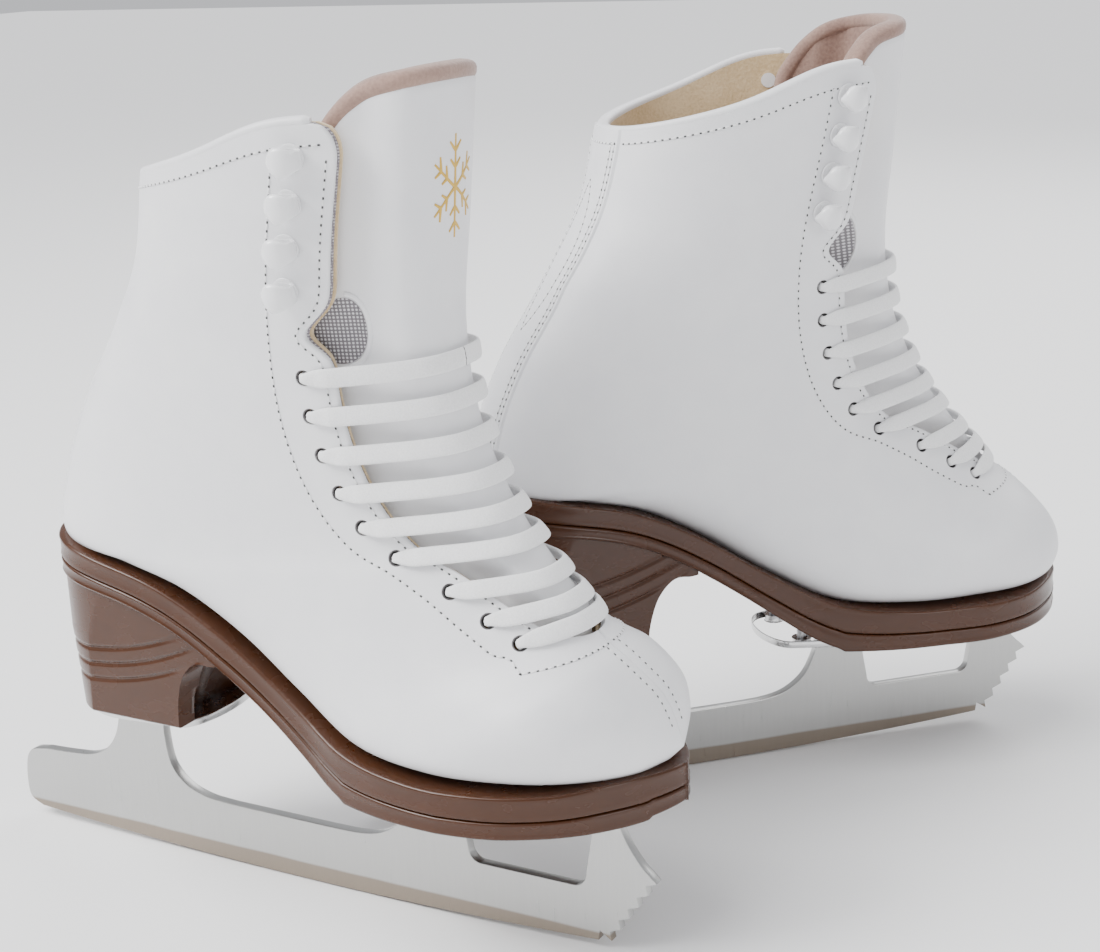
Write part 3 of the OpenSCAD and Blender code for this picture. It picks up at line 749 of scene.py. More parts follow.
# ---------------------------------------------------------------------------------------------
# Back strip. A white leather strip over the seam at the back, skived at its edges and held by
# two rows of stitches a side, with a stitched leaf in its middle.
# ---------------------------------------------------------------------------------------------
strip_share = 0.155
strip_t = 0.9
strip_us = np.linspace(-0.02, 4.7, 150)
strip_fs = np.linspace(-1, 1, 41)


def strip_angle(u, f):
    return f * strip_share * edge_angle(np.maximum(u, 0))


for side in SIDES:
    u = strip_us[:, None] + 0 * strip_fs[None, :]
    a = strip_angle(u, strip_fs[None, :])
    from_edge = np.minimum((1 - np.abs(strip_fs))[None, :] * 19, (4.7 - u) * 25)
    rise = strip_t * np.sqrt(np.clip(1 - np.clip(1 - from_edge / 0.9, 0, 1) ** 2, 0, 1))
    v, faces = two_sided(layer(u, a, -rise), layer(u, a, 0.6))
    make_piece("back_strip", v, faces, side, leather, "white_leather", stands_for=["back_strip"])
    rows = []
    run = np.linspace(top_line_u, 4.55, 120)
    for f in (-0.86, -0.72, 0.72, 0.86):
        rows.append(stitches(run, strip_angle(run, f), strip_t))
    for f in (-1, 1):
        leaf = np.linspace(0.65, 2.55, 60)
        rows.append(stitches(leaf, strip_angle(leaf, f * 0.46 * np.sin(math.pi * (leaf - 0.65) / 1.9) ** 0.8),
                             strip_t))
    top = np.linspace(-0.86, 0.86, 40)
    rows.append(stitches(np.full(40, top_line_u), strip_angle(top_line_u, top), strip_t))
    sew("back_strip", rows, side)

# ---------------------------------------------------------------------------------------------
# Collar binding. A soft white leather roll turned over the topline, so that no cut edge shows.
# ---------------------------------------------------------------------------------------------
for side in SIDES:
    reach = float(edge_angle(0.0)) - 0.5
    a = np.linspace(-reach, reach, 260)
    path, ups = layer(-0.02, a, inside_t / 2), outward(-0.02, a)
    taper = np.clip((reach - np.abs(a)) / 1.5, 0.35, 1) ** 0.5
    v, faces = sweep(path, ups, 1.7 * taper, (inside_t / 2 + 0.02) * taper, 16, 2.6)
    make_piece("collar_binding", v, faces, side, leather, "white_leather", sharp=60,
               stands_for=["collar_binding"])

# ---------------------------------------------------------------------------------------------
# Lining and facing stay. Tan suede lines the boot; a grey woven stay stiffens the lacing edge
# between the leather and the lining, and shows as a thin line at the cut edge.
# ---------------------------------------------------------------------------------------------
lining_rows = spaced([0, 2.6, throat_end, 14.85], [60, 70, 40])
lining_cols = spaced([0, 0.95, 1], [46, 6])
cuff_step = 1.8


def suede(name, dark, light, scale=900):
    material, nodes, links, shader, coords = new_material(name, light, 0.92, Sheen_Weight=0.35)
    nap = noise(nodes, links, coords, scale, 5)
    cloud = noise(nodes, links, coords, 45, 3)
    blend = nodes.new("ShaderNodeMath")
    blend.operation = "ADD"
    links.new(nap, blend.inputs[0])
    links.new(cloud, blend.inputs[1])
    half = nodes.new("ShaderNodeMath")
    half.operation = "MULTIPLY"
    links.new(blend.outputs[0], half.inputs[0])
    half.inputs[1].default_value = 0.5
    tint(nodes, links, shader, half.outputs[0], [(0.35, dark), (0.65, light)])
    bump(nodes, links, shader, nap, 0.35, 0.0006)
    return material


def woven(name, dark, light, thread_mm):
    """A plain weave: two crossed waves shade and raise the threads."""
    material, nodes, links, shader, coords = new_material(name, light, 0.6)
    waves = []
    for axis in ("X", "Z"):
        wave = nodes.new("ShaderNodeTexWave")
        wave.bands_direction = axis
        wave.inputs["Scale"].default_value = 0.314 / (thread_mm * MM) / 2
        wave.inputs["Distortion"].default_value = 0.4
        links.new(coords, wave.inputs["Vector"])
        waves.append(wave.outputs["Fac"])
    mix = nodes.new("ShaderNodeMath")
    mix.operation = "MULTIPLY"
    links.new(waves[0], mix.inputs[0])
    links.new(waves[1], mix.inputs[1])
    tint(nodes, links, shader, mix.outputs[0], [(0.1, dark), (0.6, light)])
    bump(nodes, links, shader, mix.outputs[0], 0.6, 0.0004)
    return material


tan_suede = suede("tan_suede", (0.56, 0.41, 0.22), (0.74, 0.58, 0.36))
stay_cloth = woven("stay_cloth", (0.2, 0.18, 0.2), (0.55, 0.53, 0.55), 0.5)
for side in SIDES:
    for half, inner in (("outer", -1), ("inner", 1)):
        reach = (edge_angle(lining_rows) + cuff_step * np.clip((2.3 - lining_rows) / 0.5, 0, 1))[:, None]
        angles = inner * lining_cols[None, :] * reach
        v, faces = shell(lining_rows, angles, stiff_in, inside_t,
                         [toe_tip - [stiff_in, 0, 0], toe_tip - [inside_t, 0, 0]])
        piece = make_piece(f"lining_{half}", v, faces, side, tan_suede, "tan_suede",
                           stands_for=[f"lining_{half}"])
        cut_holes(piece, side, inner)
        stay_rows = lining_rows[lining_rows <= 9.05]
        edge = back_off(stay_rows, edge_angle(stay_rows), 0.3)
        edge = edge + 0.6 * cuff_step * np.clip((2.3 - stay_rows) / 0.5, 0, 1)
        inside = back_off(stay_rows, edge_angle(stay_rows), stay_width)
        share = np.linspace(0, 1, 16)[None, :]
        angles = inner * (inside[:, None] * (1 - share) + edge[:, None] * share)
        v, faces = shell(stay_rows, angles, leather_t, stiff_in)
        piece = make_piece(f"facing_stay_{half}", v, faces, side, stay_cloth, "stiffener",
                           stands_for=[f"facing_{half}"])
        cut_holes(piece, side, inner)

# ---------------------------------------------------------------------------------------------
# Hooks. Four a side, pressed from steel sheet and enamelled white: a washer, a neck that curls
# over from the lacing edge, and a domed head, riveted through the facing.
# ---------------------------------------------------------------------------------------------
hook_profile = [[-1.5, 0.7], [1.2, 0.75], [3.4, 1.4], [4.6, 3.2], [4.4, 5.3], [2.9, 7.0], [0.4, 8.3],
                [-2.6, 8.2], [-4.8, 6.5], [-6.0, 4.2]]
hook_half = [3.3, 3.1, 2.8, 2.6, 2.8, 3.6, 4.6, 4.8, 3.9, 1.3]
hook_sheet = 1.0
hook_crown = 2.75


def enamel():
    material, nodes, links, shader, coords = new_material(
        "hook_enamel", (0.84, 0.84, 0.85), 0.16, Coat_Weight=0.4)
    wavy = noise(nodes, links, coords, 260, 2)
    bump(nodes, links, shader, wavy, 0.05, 0.0006)
    return material


hook_white = enamel()


def local_frame(u, a, angle_sign):
    """Centre, direction towards the lacing edge, direction up the boot and outward at a place on the skin."""
    centre, n = skin(u, a), outward(u, a)
    front = skin(u, a + angle_sign * 2) - centre
    front = front - n * np.dot(front, n)
    front /= np.linalg.norm(front)
    return centre, front, np.cross(n, front), n


def hook_parts(u, inner):
    a = inner * float(hook_angle(u))
    centre, front, up, n = local_frame(u, a, inner)
    prof = np.array(through(hook_profile, 5))
    half = np.array(through([[h] for h in hook_half], 5))[:, 0]
    across = np.linspace(-1, 1, 13)
    crown = hook_crown * np.clip(np.linspace(-0.8, 1, len(prof)), 0, 1)
    grids = []
    tangent = np.gradient(prof, axis=0)
    tangent /= np.linalg.norm(tangent, axis=1, keepdims=True)
    out_of_sheet = np.stack([tangent[:, 1], -tangent[:, 0]], -1)
    for off in (hook_sheet / 2, -hook_sheet / 2):
        rows = []
        for (x, z), (lx, lz), h, c in zip(prof, out_of_sheet, half, crown):
            ring = []
            for s in across:
                drop = c * s * s
                px, pz = x + lx * (off - drop), z + lz * (off - drop)
                ring.append(centre + front * px + up * (h * math.sin(s * 1.4) / math.sin(1.4)) + n * pz)
            rows.append(ring)
        grids.append(np.array(rows))
    clip = two_sided(*grids)
    ring, ring_faces = lathe([(1.3, 0.15), (4.2, 0.05), (4.6, 0.3), (4.5, 0.75), (4.0, 0.95), (2.2, 0.85),
                              (1.6, 0.6), (1.3, 0.15), (1.5, -inside_t), (2.9, -inside_t - 0.1),
                              (2.9, -inside_t - 0.6), (1.1, -inside_t - 0.6)], 28)
    washer = centre + ring[:, :1] * front + ring[:, 1:2] * up + ring[:, 2:] * n
    return [clip, (washer, ring_faces)]


for side in SIDES:
    for half, inner in (("outer", -1), ("inner", 1)):
        parts = [part for u in hook_rows for part in hook_parts(u, inner)]
        v, faces = joined(parts)
        make_piece(f"hooks_{half}_enamelled", v, faces, side, hook_white, "hook_enamel", sharp=50,
                   stands_for=[f"hooks_{half}"])

# ---------------------------------------------------------------------------------------------
# Eyelets. Nine steel barrels a side, rolled over the lining inside. Their dark grey is painted
# shade, so that the leather shows only a plain dark hole outside.
# ---------------------------------------------------------------------------------------------
barrel_sides = 28
barrel_profile = [(2.35, -0.55), (2.75, -0.6), (2.8, -inside_t), (3.5, -inside_t - 0.05),
                  (3.8, -inside_t - 0.35), (3.4, -inside_t - 0.65), (2.5, -inside_t - 0.6),
                  (2.15, -inside_t - 0.2), (2.1, -1.2)]
# The barrels are real eyelets; their dark grey is painted shade for the hole round the lace.
eyelet_painted_shade = polished_steel("eyelet_painted_shade", (0.2, 0.19, 0.19), 0.38)
for side in SIDES:
    for half, inner in (("outer", -1), ("inner", 1)):
        parts = []
        for u in eyelet_rows:
            centre, front, up, n = local_frame(u, inner * float(eyelet_angle(u)), inner)
            turn = np.linspace(0, 2 * math.pi, barrel_sides, endpoint=False)
            ring = np.array([centre + r * (math.cos(t) * front + math.sin(t) * up) + z * n
                             for r, z in barrel_profile for t in turn])
            f = grid_faces(len(barrel_profile), barrel_sides, wrap=True)
            k = (len(barrel_profile) - 1) * barrel_sides
            f += [[k + j, k + (j + 1) % barrel_sides, (j + 1) % barrel_sides, j] for j in range(barrel_sides)]
            parts.append((ring, f))
        v, faces = joined(parts)
        make_piece(f"eyelets_{half}_barrels", v, faces, side, eyelet_painted_shade, "eyelet_metal", sharp=50,
                   stands_for=[f"eyelets_{half}"])

# ---------------------------------------------------------------------------------------------
# Tongue. A padded white leather front, stitched in at the throat end, with mauve suede rolled
# over its top and sides.
# ---------------------------------------------------------------------------------------------
tongue_face = inside_t + 3
tongue_joint = 2.2
tongue_tuck = 10.0
tongue_swell = 6.2
tongue_end = 10.2
tongue_t = 4.8
tongue_back_t = 2.35
edge_roll = 2.3
edging_depth = 3.6
edging_half = (3.1, 3.9)


def throat_span(u):
    return 180 - throat_angle(np.minimum(u, 9))


def tongue_point(u, f, extra):
    """A point of the tongue: f runs from -1 to 1 across it, extra goes in from its face."""
    u, f, extra = np.broadcast_arrays(*(np.asarray(w, float) for w in (u, f, extra)))
    span = f * (throat_span(u) + tongue_tuck)
    share = np.abs(span) / throat_span(u)
    rise = tongue_swell * np.clip((9.4 - u) / 0.8, 0, 1)
    edge = np.clip((0.9 - share) / 0.42, 0, 1)
    return layer(u, 180 - span, tongue_face - rise * edge * edge * (3 - 2 * edge) + extra)


def tongue_top(f):
    """The tongue's rounded top edge, in section rows."""
    return -0.27 + 0.5 * np.abs(f) ** 5


mauve_suede = suede("mauve_suede", (0.25, 0.155, 0.125), (0.38, 0.25, 0.2))
gusset_mesh = woven("gusset_mesh", (0.16, 0.15, 0.16), (0.66, 0.64, 0.67), 0.62)
for side in SIDES:
    low = placed([[200, 0, 204]], side)[0]
    high = placed([[200, 0, 216]], side)[0]


def folding(piece):
    """Bakes a piece's placement into its mesh."""
    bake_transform(piece)


for side in SIDES:
    v_share = np.linspace(0, 1, 150)[:, None]
    f = np.sin(np.linspace(-1, 1, 73) * math.pi / 2)[None, :] * 0.35 + np.linspace(-1, 1, 73)[None, :] * 0.65
    u = tongue_top(f) + (tongue_end - tongue_top(f)) * v_share
    f = f + 0 * u
    wall = tongue_t - 0.9 * np.clip((u - tongue_joint) / 1.5, 0, 1)
    from_edge = np.minimum((1 - np.abs(f)) * 42, (u - tongue_top(f)) * 28 + 0.01)
    close = np.clip(1 - from_edge / edge_roll, 0, 1)
    pinch = edge_roll * (1 - np.sqrt(1 - close**2 * 0.98))
    v, faces = two_sided(tongue_point(u, f, pinch), tongue_point(u, f, wall - pinch * 0.9))
    tongue = make_piece("tongue_leather", v, faces, side, leather, "white_leather", body=None, sharp=60,
                        stands_for=["tongue_lower", "tongue_upper"])
    folding(tongue)

    f = np.linspace(-1, 1, 61)[None, :]
    u = (tongue_top(f) + 0.06) + (tongue_joint - 0.15 - tongue_top(f)) * np.linspace(0, 1, 60)[:, None]
    f = f * 0.97 + 0 * u
    back_face = tongue_t + 0.05 + tongue_back_t - 1.2 * np.abs(f) ** 4
    v, faces = two_sided(tongue_point(u, f, tongue_t + 0.05), tongue_point(u, f, back_face))
    backing = make_piece("tongue_suede_back", v, faces, side, mauve_suede, "tongue_suede", body=None,
                         sharp=60, stands_for=["tongue_lining"])
    folding(backing)

    down = np.linspace(2.3, tongue_top(1.0) + 0.02, 60)
    over = np.linspace(-1, 1, 160)[1:-1]
    line_u = np.concatenate([down, tongue_top(over), down[::-1]])
    line_f = np.concatenate([-np.ones(60), over, np.ones(60)])
    path = tongue_point(line_u, line_f * 0.995, edging_depth)
    ups = outward(line_u, 180 - line_f * (throat_span(line_u) + tongue_tuck))
    path, ups = by_length(path, 1.2, ups)
    for _ in range(4):
        path[1:-1] = (path[:-2] + 2 * path[1:-1] + path[2:]) / 4
    v, faces = sweep(path, ups, *edging_half, 16, 2.6)
    edging = make_piece("tongue_suede_edge", v, faces, side, mauve_suede, "tongue_suede", body=None, sharp=60)
    folding(edging)

# ---------------------------------------------------------------------------------------------
# Foil ornament. A plain gold snowflake pressed on the front of each tongue, as decoration.
# ---------------------------------------------------------------------------------------------
flake_u = 0.72
flake_r = 13.0
twigs = ((5.0, 3.2), (9.0, 3.6))
twig_angle = 0.9
foil_half, foil_taper, foil_rise = 0.62, 0.25, 0.16


def gold_foil():
    material, nodes, links, shader, coords = new_material("gold_foil", (0.62, 0.4, 0.08), 0.34, 0.85)
    crinkle = noise(nodes, links, coords, 700, 3)
    tint(nodes, links, shader, crinkle, [(0.3, grey(0.3)), (0.7, grey(0.45))], "Roughness")
    bump(nodes, links, shader, crinkle, 0.1, 0.0002)
    return material


def on_tongue(x, y):
    """A place on the tongue's face, in mm across and up from the ornament's middle."""
    u = flake_u - np.asarray(y, float) / 28
    per_f = np.linalg.norm(tongue_point(flake_u, 0.1, 0) - tongue_point(flake_u, 0.0, 0)) / 0.1
    f = np.asarray(x, float) / per_f
    return tongue_point(u, f, -0.05), outward(u, 180 - f * (throat_span(u) + tongue_tuck))


gold = gold_foil()
for side in SIDES:
    strokes = []
    for k in range(6):
        arm = math.radians(60 * k + 30)
        lines = [((0, 0), (flake_r, 0))]
        for at, size in twigs:
            for s in (-1, 1):
                lines.append(((at, 0), (at + size * math.cos(twig_angle), s * size * math.sin(twig_angle))))
        for (x0, y0), (x1, y1) in lines:
            w = np.linspace(0, 1, 14)
            x, y = x0 + (x1 - x0) * w, y0 + (y1 - y0) * w
            c, n = math.cos(arm), math.sin(arm)
            spot, ups = on_tongue(x * c - y * n, x * n + y * c)
            strokes.append(sweep(spot, ups, foil_half - foil_taper * w, foil_rise, 8, 3))
    v, faces = joined(strokes)
    flake = make_piece("tongue_foil_snowflake", v, faces, side, gold, "tongue_suede", body=None, sharp=60)
    folding(flake)

# ---------------------------------------------------------------------------------------------
# Mesh windows. A grey woven gusset shows in the flex notch at each side of the tongue, behind
# a curved leather edge.
# ---------------------------------------------------------------------------------------------
window_u = 2.0
window_half_u, window_half_f = 0.36, 0.15
rim_grow_u, rim_grow_f = 0.04, 0.02
for side in SIDES:
    parts, rims, rows = [], [], []
    for inner in (-1, 1):
        ring = np.linspace(0, 1, 14)[:, None]
        turn = np.linspace(0, 2 * math.pi, 49)[None, :-1]
        middle = float(throat_span(window_u) / (throat_span(window_u) + tongue_tuck)) * 0.97
        u = window_u + window_half_u * ring * np.sin(turn)
        f = inner * (middle + window_half_f * ring * np.cos(turn))
        top_face = tongue_point(u, f, -0.25).reshape(-1, 3)
        under = tongue_point(u, f, 0.5).reshape(-1, 3)
        r, c = u.shape
        m = r * c
        faces = grid_faces(r, c, wrap=True) + [q[::-1] for q in grid_faces(r, c, m, wrap=True)]
        e = (r - 1) * c
        faces += [[e + j, e + (j + 1) % c, e + (j + 1) % c + m, e + j + m] for j in range(c)]
        parts.append((np.vstack([top_face, under]), faces))
        bow = np.linspace(0.55, 1.45, 40) * math.pi
        rim_u = window_u + (window_half_u + rim_grow_u) * np.sin(bow)
        rim_f = inner * (middle + (window_half_f + rim_grow_f) * np.cos(bow))
        ups = outward(rim_u, 180 - rim_f * (throat_span(rim_u) + tongue_tuck))
        rims.append(sweep(tongue_point(rim_u, rim_f, -0.1), ups, 0.9, 0.55, 10, 2.4))
    v, faces = joined(rims)
    rim = make_piece("tongue_window_rims", v, faces, side, leather, "white_leather", body=None, sharp=60)
    folding(rim)
    v, faces = joined(parts)
    window = make_piece("tongue_mesh_windows", v, faces, side, gusset_mesh, "tongue_suede", body=None,
                        sharp=60)
    folding(window)

# ---------------------------------------------------------------------------------------------
# Lace. One flat braided cotton lace, 6.4 mm wide, runs straight across nine rows of eyelets
# and up inside the facing between them.
# ---------------------------------------------------------------------------------------------
lace_half = 3.2
lace_thick = 0.8
bar_lift = 1.6
lace_step = 0.55
braid_pitch, braid_depth = 1.9, 0.1


def lace_stop(u, inner, t):
    return layer(u, inner * float(eyelet_angle(u)), t)


def lace_route():
    """Places along the lace with its half width and its half thickness."""
    stops = []
    for i, u in enumerate(eyelet_rows):
        s = -1 if i % 2 == 0 else 1
        ends = [(inside_t + 1.8, 1.6, 1.2), (2.2, 1.5, 1.3), (-0.5, 1.6, 1.2)]
        edge = float(throat_angle(u))
        near = float(back_off(u, edge, 6.0))
        for t, w, h in ends:
            stops.append([*lace_stop(u, s, t), w, h])
        stops.append([*layer(u, s * near, -1.25), 2.9, 0.85])
        for share in (1, 0.6, 0.25, -0.25, -0.6, -1):
            p = layer(u, 180 - s * share * (180 - edge), -bar_lift)
            stops.append([*p, lace_half, lace_thick])
        stops.append([*layer(u, -s * near, -1.25), 2.9, 0.85])
        for t, w, h in ends[::-1]:
            stops.append([*lace_stop(u, -s, t), w, h])
    return np.array(stops)


def carried(path, first, backwards=False):
    """The lace's width direction, carried along its path without twisting."""
    order = range(len(path) - 2, -1, -1) if backwards else range(1, len(path))
    t = np.gradient(path, axis=0)
    t /= np.linalg.norm(t, axis=1, keepdims=True)
    e = np.zeros_like(path)
    start = len(path) - 1 if backwards else 0
    e[start] = first
    last = first
    for i in order:
        last = last - np.dot(last, t[i]) * t[i]
        last = last / np.linalg.norm(last)
        e[i] = last
    return e


def cotton():
    material, nodes, links, shader, coords = new_material(
        "lace_cotton", (0.86, 0.86, 0.86), 0.85, Sheen_Weight=0.3)
    fine = noise(nodes, links, coords, 1800, 3)
    tint(nodes, links, shader, fine, [(0.3, grey(0.8)), (0.7, grey(0.9))])
    bump(nodes, links, shader, fine, 0.4, 0.0003)
    return material


lace_cotton = cotton()
for side in SIDES:
    stops = lace_route()
    dense = np.array(through(stops, 12))
    path, halves = by_length(dense[:, :3], lace_step, dense[:, 3:])
    for _ in range(3):
        path[1:-1] = (path[:-2] + 2 * path[1:-1] + path[2:]) / 4
    wide, thick = np.clip(halves[:, 0], 1.6, 3.3), np.clip(halves[:, 1], 0.75, 1.2)
    middles = []
    for i, u in enumerate(eyelet_rows):
        centre = layer(u, 180.0, -bar_lift)
        middles.append(int(np.argmin(np.linalg.norm(path - centre, axis=1))))
    e = np.zeros_like(path)
    firsts = []
    for i, k in enumerate(middles):
        u = eyelet_rows[i]
        along = skin(u - 0.05, 180.0) - skin(u + 0.05, 180.0)
        t = path[k + 1] - path[k - 1]
        t /= np.linalg.norm(t)
        first = along - np.dot(along, t) * t
        firsts.append(first / np.linalg.norm(first))
    e[:middles[0] + 1] = carried(path[:middles[0] + 1], firsts[0], True)
    e[middles[-1]:] = carried(path[middles[-1]:], firsts[-1])
    for i in range(len(middles) - 1):
        a, b = middles[i], middles[i + 1]
        there = carried(path[a:b + 1], firsts[i])
        back = carried(path[a:b + 1], firsts[i + 1], True)
        mid = (b - a) // 2
        if np.dot(there[mid], back[mid]) < 0:
            back = -back
            firsts[i + 1] = -firsts[i + 1]
        w = np.clip(np.linspace(-1.2, 2.2, b - a + 1), 0, 1)[:, None]
        mixed = there * (1 - w) + back * w
        e[a:b + 1] = mixed / np.linalg.norm(mixed, axis=1, keepdims=True)
    t = np.gradient(path, axis=0)
    t /= np.linalg.norm(t, axis=1, keepdims=True)
    e -= (e * t).sum(1, keepdims=True) * t
    e /= np.linalg.norm(e, axis=1, keepdims=True)
    g = np.cross(t, e)
    count = 20
    turn = np.linspace(0, 2 * math.pi, count, endpoint=False)
    cx = np.sign(np.cos(turn)) * np.abs(np.cos(turn)) ** 0.75
    cy = np.sign(np.sin(turn)) * np.abs(np.sin(turn)) ** 0.75
    s = np.arange(len(path)) * lace_step
    braid = braid_depth * np.cos(2 * math.pi * (s[:, None] / braid_pitch + np.abs(cx)[None, :] * 1.5))
    w = wide[:, None] * cx[None, :]
    h = (thick[:, None] + braid) * cy[None, :]
    ring = path[:, None] + w[..., None] * e[:, None] + h[..., None] * g[:, None]
    faces = grid_faces(len(path), count, wrap=True)
    faces += [list(range(count))[::-1], [(len(path) - 1) * count + k for k in range(count)]]
    make_piece("lace_braid", ring.reshape(-1, 3), faces, side, lace_cotton, "lace_cotton", sharp=70,
               stands_for=["lace"])

# ---------------------------------------------------------------------------------------------
# Sole unit. Two layers of stacked brown leather board, edge-trimmed together, sealed and waxed
# to a shine; a fine groove between two bright lips runs all round.
# ---------------------------------------------------------------------------------------------
sole_half = [[45.6, 0.6], [46, 5], [47, 11], [50, 18], [56, 25], [66, 30], [80, 32], [100, 32],
             [120, 31], [145, 31], [165, 34], [185, 40], [205, 44.5], [225, 46], [243, 45], [258, 40],
             [270, 33], [280, 23.5], [287, 14], [290.5, 7], [292, 2], [292.3, 0.4]]
sole_shift = [[46, 0], [190, 0], [225, 1], [250, 4], [275, 7], [292, 9]]
ground = [[40, 119.5], [60, 117], [85, 113], [103, 107.5], [118, 100], [132, 91], [146, 81], [160, 70.5],
          [172, 62], [182, 57], [192, 55], [276, 55], [286, 56.5], [296, 58.5]]
under_upper = [[40, 131.5]] + [[s[0], s[1] - 0.6] for s in sections[5:15]] + [[296, 68.6]]


def smooth_lookup(table):
    line = np.array(through(table, 12))
    return lambda x: np.interp(x, line[:, 0], line[:, 1])


def plain_lookup(table):
    line = np.array(table, float)
    return lambda x: np.interp(x, line[:, 0], line[:, 1])


under_z, ground_z, shift_at = smooth_lookup(under_upper), smooth_lookup(ground), plain_lookup(sole_shift)
hug = 2.6


def feather_z(x):
    return under_z(x) + hug


def mid_z(x):
    return 0.5 * (under_z(x) + ground_z(x))


def sole_board():
    material, nodes, links, shader, coords = new_material(
        "sole_board", (0.05, 0.0145, 0.003), 0.26, Coat_Weight=0.12, Coat_Roughness=0.12,
        Specular_IOR_Level=0.35)
    grain = noise(nodes, links, coords, 90, 3, (1, 1, 2))
    tint(nodes, links, shader, grain, [(0.25, (0.046, 0.0135, 0.0027)), (0.75, (0.055, 0.0162, 0.0034))])
    tint(nodes, links, shader, grain, [(0.3, grey(0.24)), (0.7, grey(0.29))], "Roughness")
    bump(nodes, links, shader, grain, 0.02, 0.0004)
    return material


brown_board = sole_board()


def sole_loop():
    """The sole's outline in plan, from the heel round the outer side, the toe and back, with its normals."""
    line = np.array(through(sole_half, 7))
    line[:, 1] = np.maximum(line[:, 1] - 1.8 * np.clip((line[:, 0] - 130) / 40, 0, 1), 0.2)
    outer = np.stack([line[:, 0], shift_at(line[:, 0]) - line[:, 1]], -1)
    inner = np.stack([line[:, 0], shift_at(line[:, 0]) + line[:, 1]], -1)[::-1]
    loop = np.vstack([outer, inner])
    t = np.roll(loop, -1, 0) - np.roll(loop, 1, 0)
    t /= np.linalg.norm(t, axis=1, keepdims=True)
    return loop, np.stack([t[:, 1], -t[:, 0]], -1)


def sole_layer(rings):
    """A solid from rings round the sole, each an inset and a height as a function of x."""
    loop, normal = sole_loop()
    count = len(loop)
    half = count // 2
    points = []
    for inset, z in rings:
        width = np.abs(loop[:, 1] - shift_at(loop[:, 0]))
        safe = np.minimum(inset, np.maximum(width * 0.8, 0))
        ring = loop - normal * safe[:, None]
        points.append(np.column_stack([ring, z(loop[:, 0])]))
    faces = grid_faces(len(rings), count, wrap=True)
    for base in (0, (len(rings) - 1) * count):
        cap = [[base + j, base + j + 1, base + count - 2 - j, base + count - 1 - j] for j in range(half - 1)]
        faces += [q[::-1] for q in cap] if base == 0 else cap
    return np.vstack(points), faces


def edge_rings(bottom, top):
    """A trimmed edge between two heights: rounded corners and a shallow belly."""
    out = [(4.0, bottom)]
    for inset, up in ((1.1, 0.0), (0.55, 0.12), (0.2, 0.4), (0.0, 0.9)):
        out.append((inset, lambda x, up=up: bottom(x) + up))
    for inset, share in ((0.25, 0.25), (0.32, 0.5), (0.25, 0.75)):
        out.append((inset, lambda x, share=share: bottom(x) + share * (top(x) - bottom(x))))
    for inset, up in ((0.0, 0.9), (0.2, 0.4), (0.55, 0.12), (1.1, 0.0)):
        out.append((inset, lambda x, up=up: top(x) - up))
    out.append((4.0, top))
    return out


for side in SIDES:
    v, faces = sole_layer(edge_rings(ground_z, lambda x: mid_z(x) - 0.1))
    make_piece("outsole_board", v, faces, side, brown_board, "sole_brown", stands_for=["outsole"], sharp=50)
    v, faces = sole_layer(edge_rings(lambda x: mid_z(x) + 0.1, feather_z))
    make_piece("midsole_board", v, faces, side, brown_board, "sole_brown", stands_for=["midsole"], sharp=50)

# ---------------------------------------------------------------------------------------------
# Heel. A tall block of the same brown board with a hollowed breast and three fine grooves that
# wrap round the back and rise towards the breast.
# ---------------------------------------------------------------------------------------------
heel_base_z = heel_plate_z + plate_t
heel_back = plain_lookup([[65, 53], [80, 52], [96, 50.5], [120, 50.5]])
heel_breast = smooth_lookup([[65, 106], [76, 107.5], [86, 111], [94, 118], [99, 127]])
groove_depth = 0.75
groove_low, groove_step = 79, 6.2
breast_hollow = 9.0


def heel_solid():
    rows = 150
    width_at = smooth_lookup(sole_half)
    back_half = 0.5 * (1 - np.cos(np.linspace(0, math.pi / 2, 40))) * 0.5
    run = np.concatenate([back_half[1:], np.linspace(back_half[-1], 1, 60)[1:]])
    run = run / run[-1]
    points = []
    for i in range(rows):
        up = i / (rows - 1)
        ring = []
        for s in (-1, 1):
            part = []
            for r in run:
                z = heel_base_z + up * (ground_z(50 + r * 60) - 0.1 - heel_base_z)
                for _ in range(3):
                    x = heel_back(z) + r * (heel_breast(z) - heel_back(z))
                    z = heel_base_z + up * (ground_z(x) - 0.1 - heel_base_z)
                side_limit = 27.5 + 3.5 * (z - heel_base_z) / (121 - heel_base_z)
                x_plan = 50.2 + (x - heel_back(z)) * (120 - 50.2) / max(120 - heel_back(z), 1)
                y = min(side_limit, width_at(x_plan) - 1.3)
                rise = 5 * ((max(0.0, x - 62)) / 50) ** 2 * 2.2
                grooves = [groove_low + groove_step * k + rise for k in range(3)]
                cut = sum(math.exp(-(((z - g) / 0.8) ** 2)) for g in grooves)
                y -= groove_depth * cut * min(1, (1 - r) * 10) * (1 if r > 0.12 else r / 0.12)
                x += groove_depth * cut * max(0.0, 1 - r / 0.12)
                chamfer = 0.9 * max(0.0, 1 - (z - heel_base_z) / 0.9) ** 2
                part.append([x + chamfer * (1 - min(1, r * 6)), s * (y - chamfer), z])
            ring += part if s < 0 else part[::-1]
        first, last = ring[len(run) - 1], ring[len(run)]
        front = []
        for q in np.linspace(0, 1, 26)[1:-1]:
            y = first[1] + q * (last[1] - first[1])
            z = first[2]
            bow = breast_hollow * max(0.0, 1 - (y / 17.0) ** 2) ** 0.5 * min(1, max(0.0, (96.5 - z) / 6))
            front.append([first[0] - bow, y, z])
        points += ring[:len(run)] + front + ring[len(run):]
    count = len(points) // rows
    faces = grid_faces(rows, count, wrap=True)
    faces += [list(range(count))[::-1], [(rows - 1) * count + k for k in range(count)]]
    return points, faces


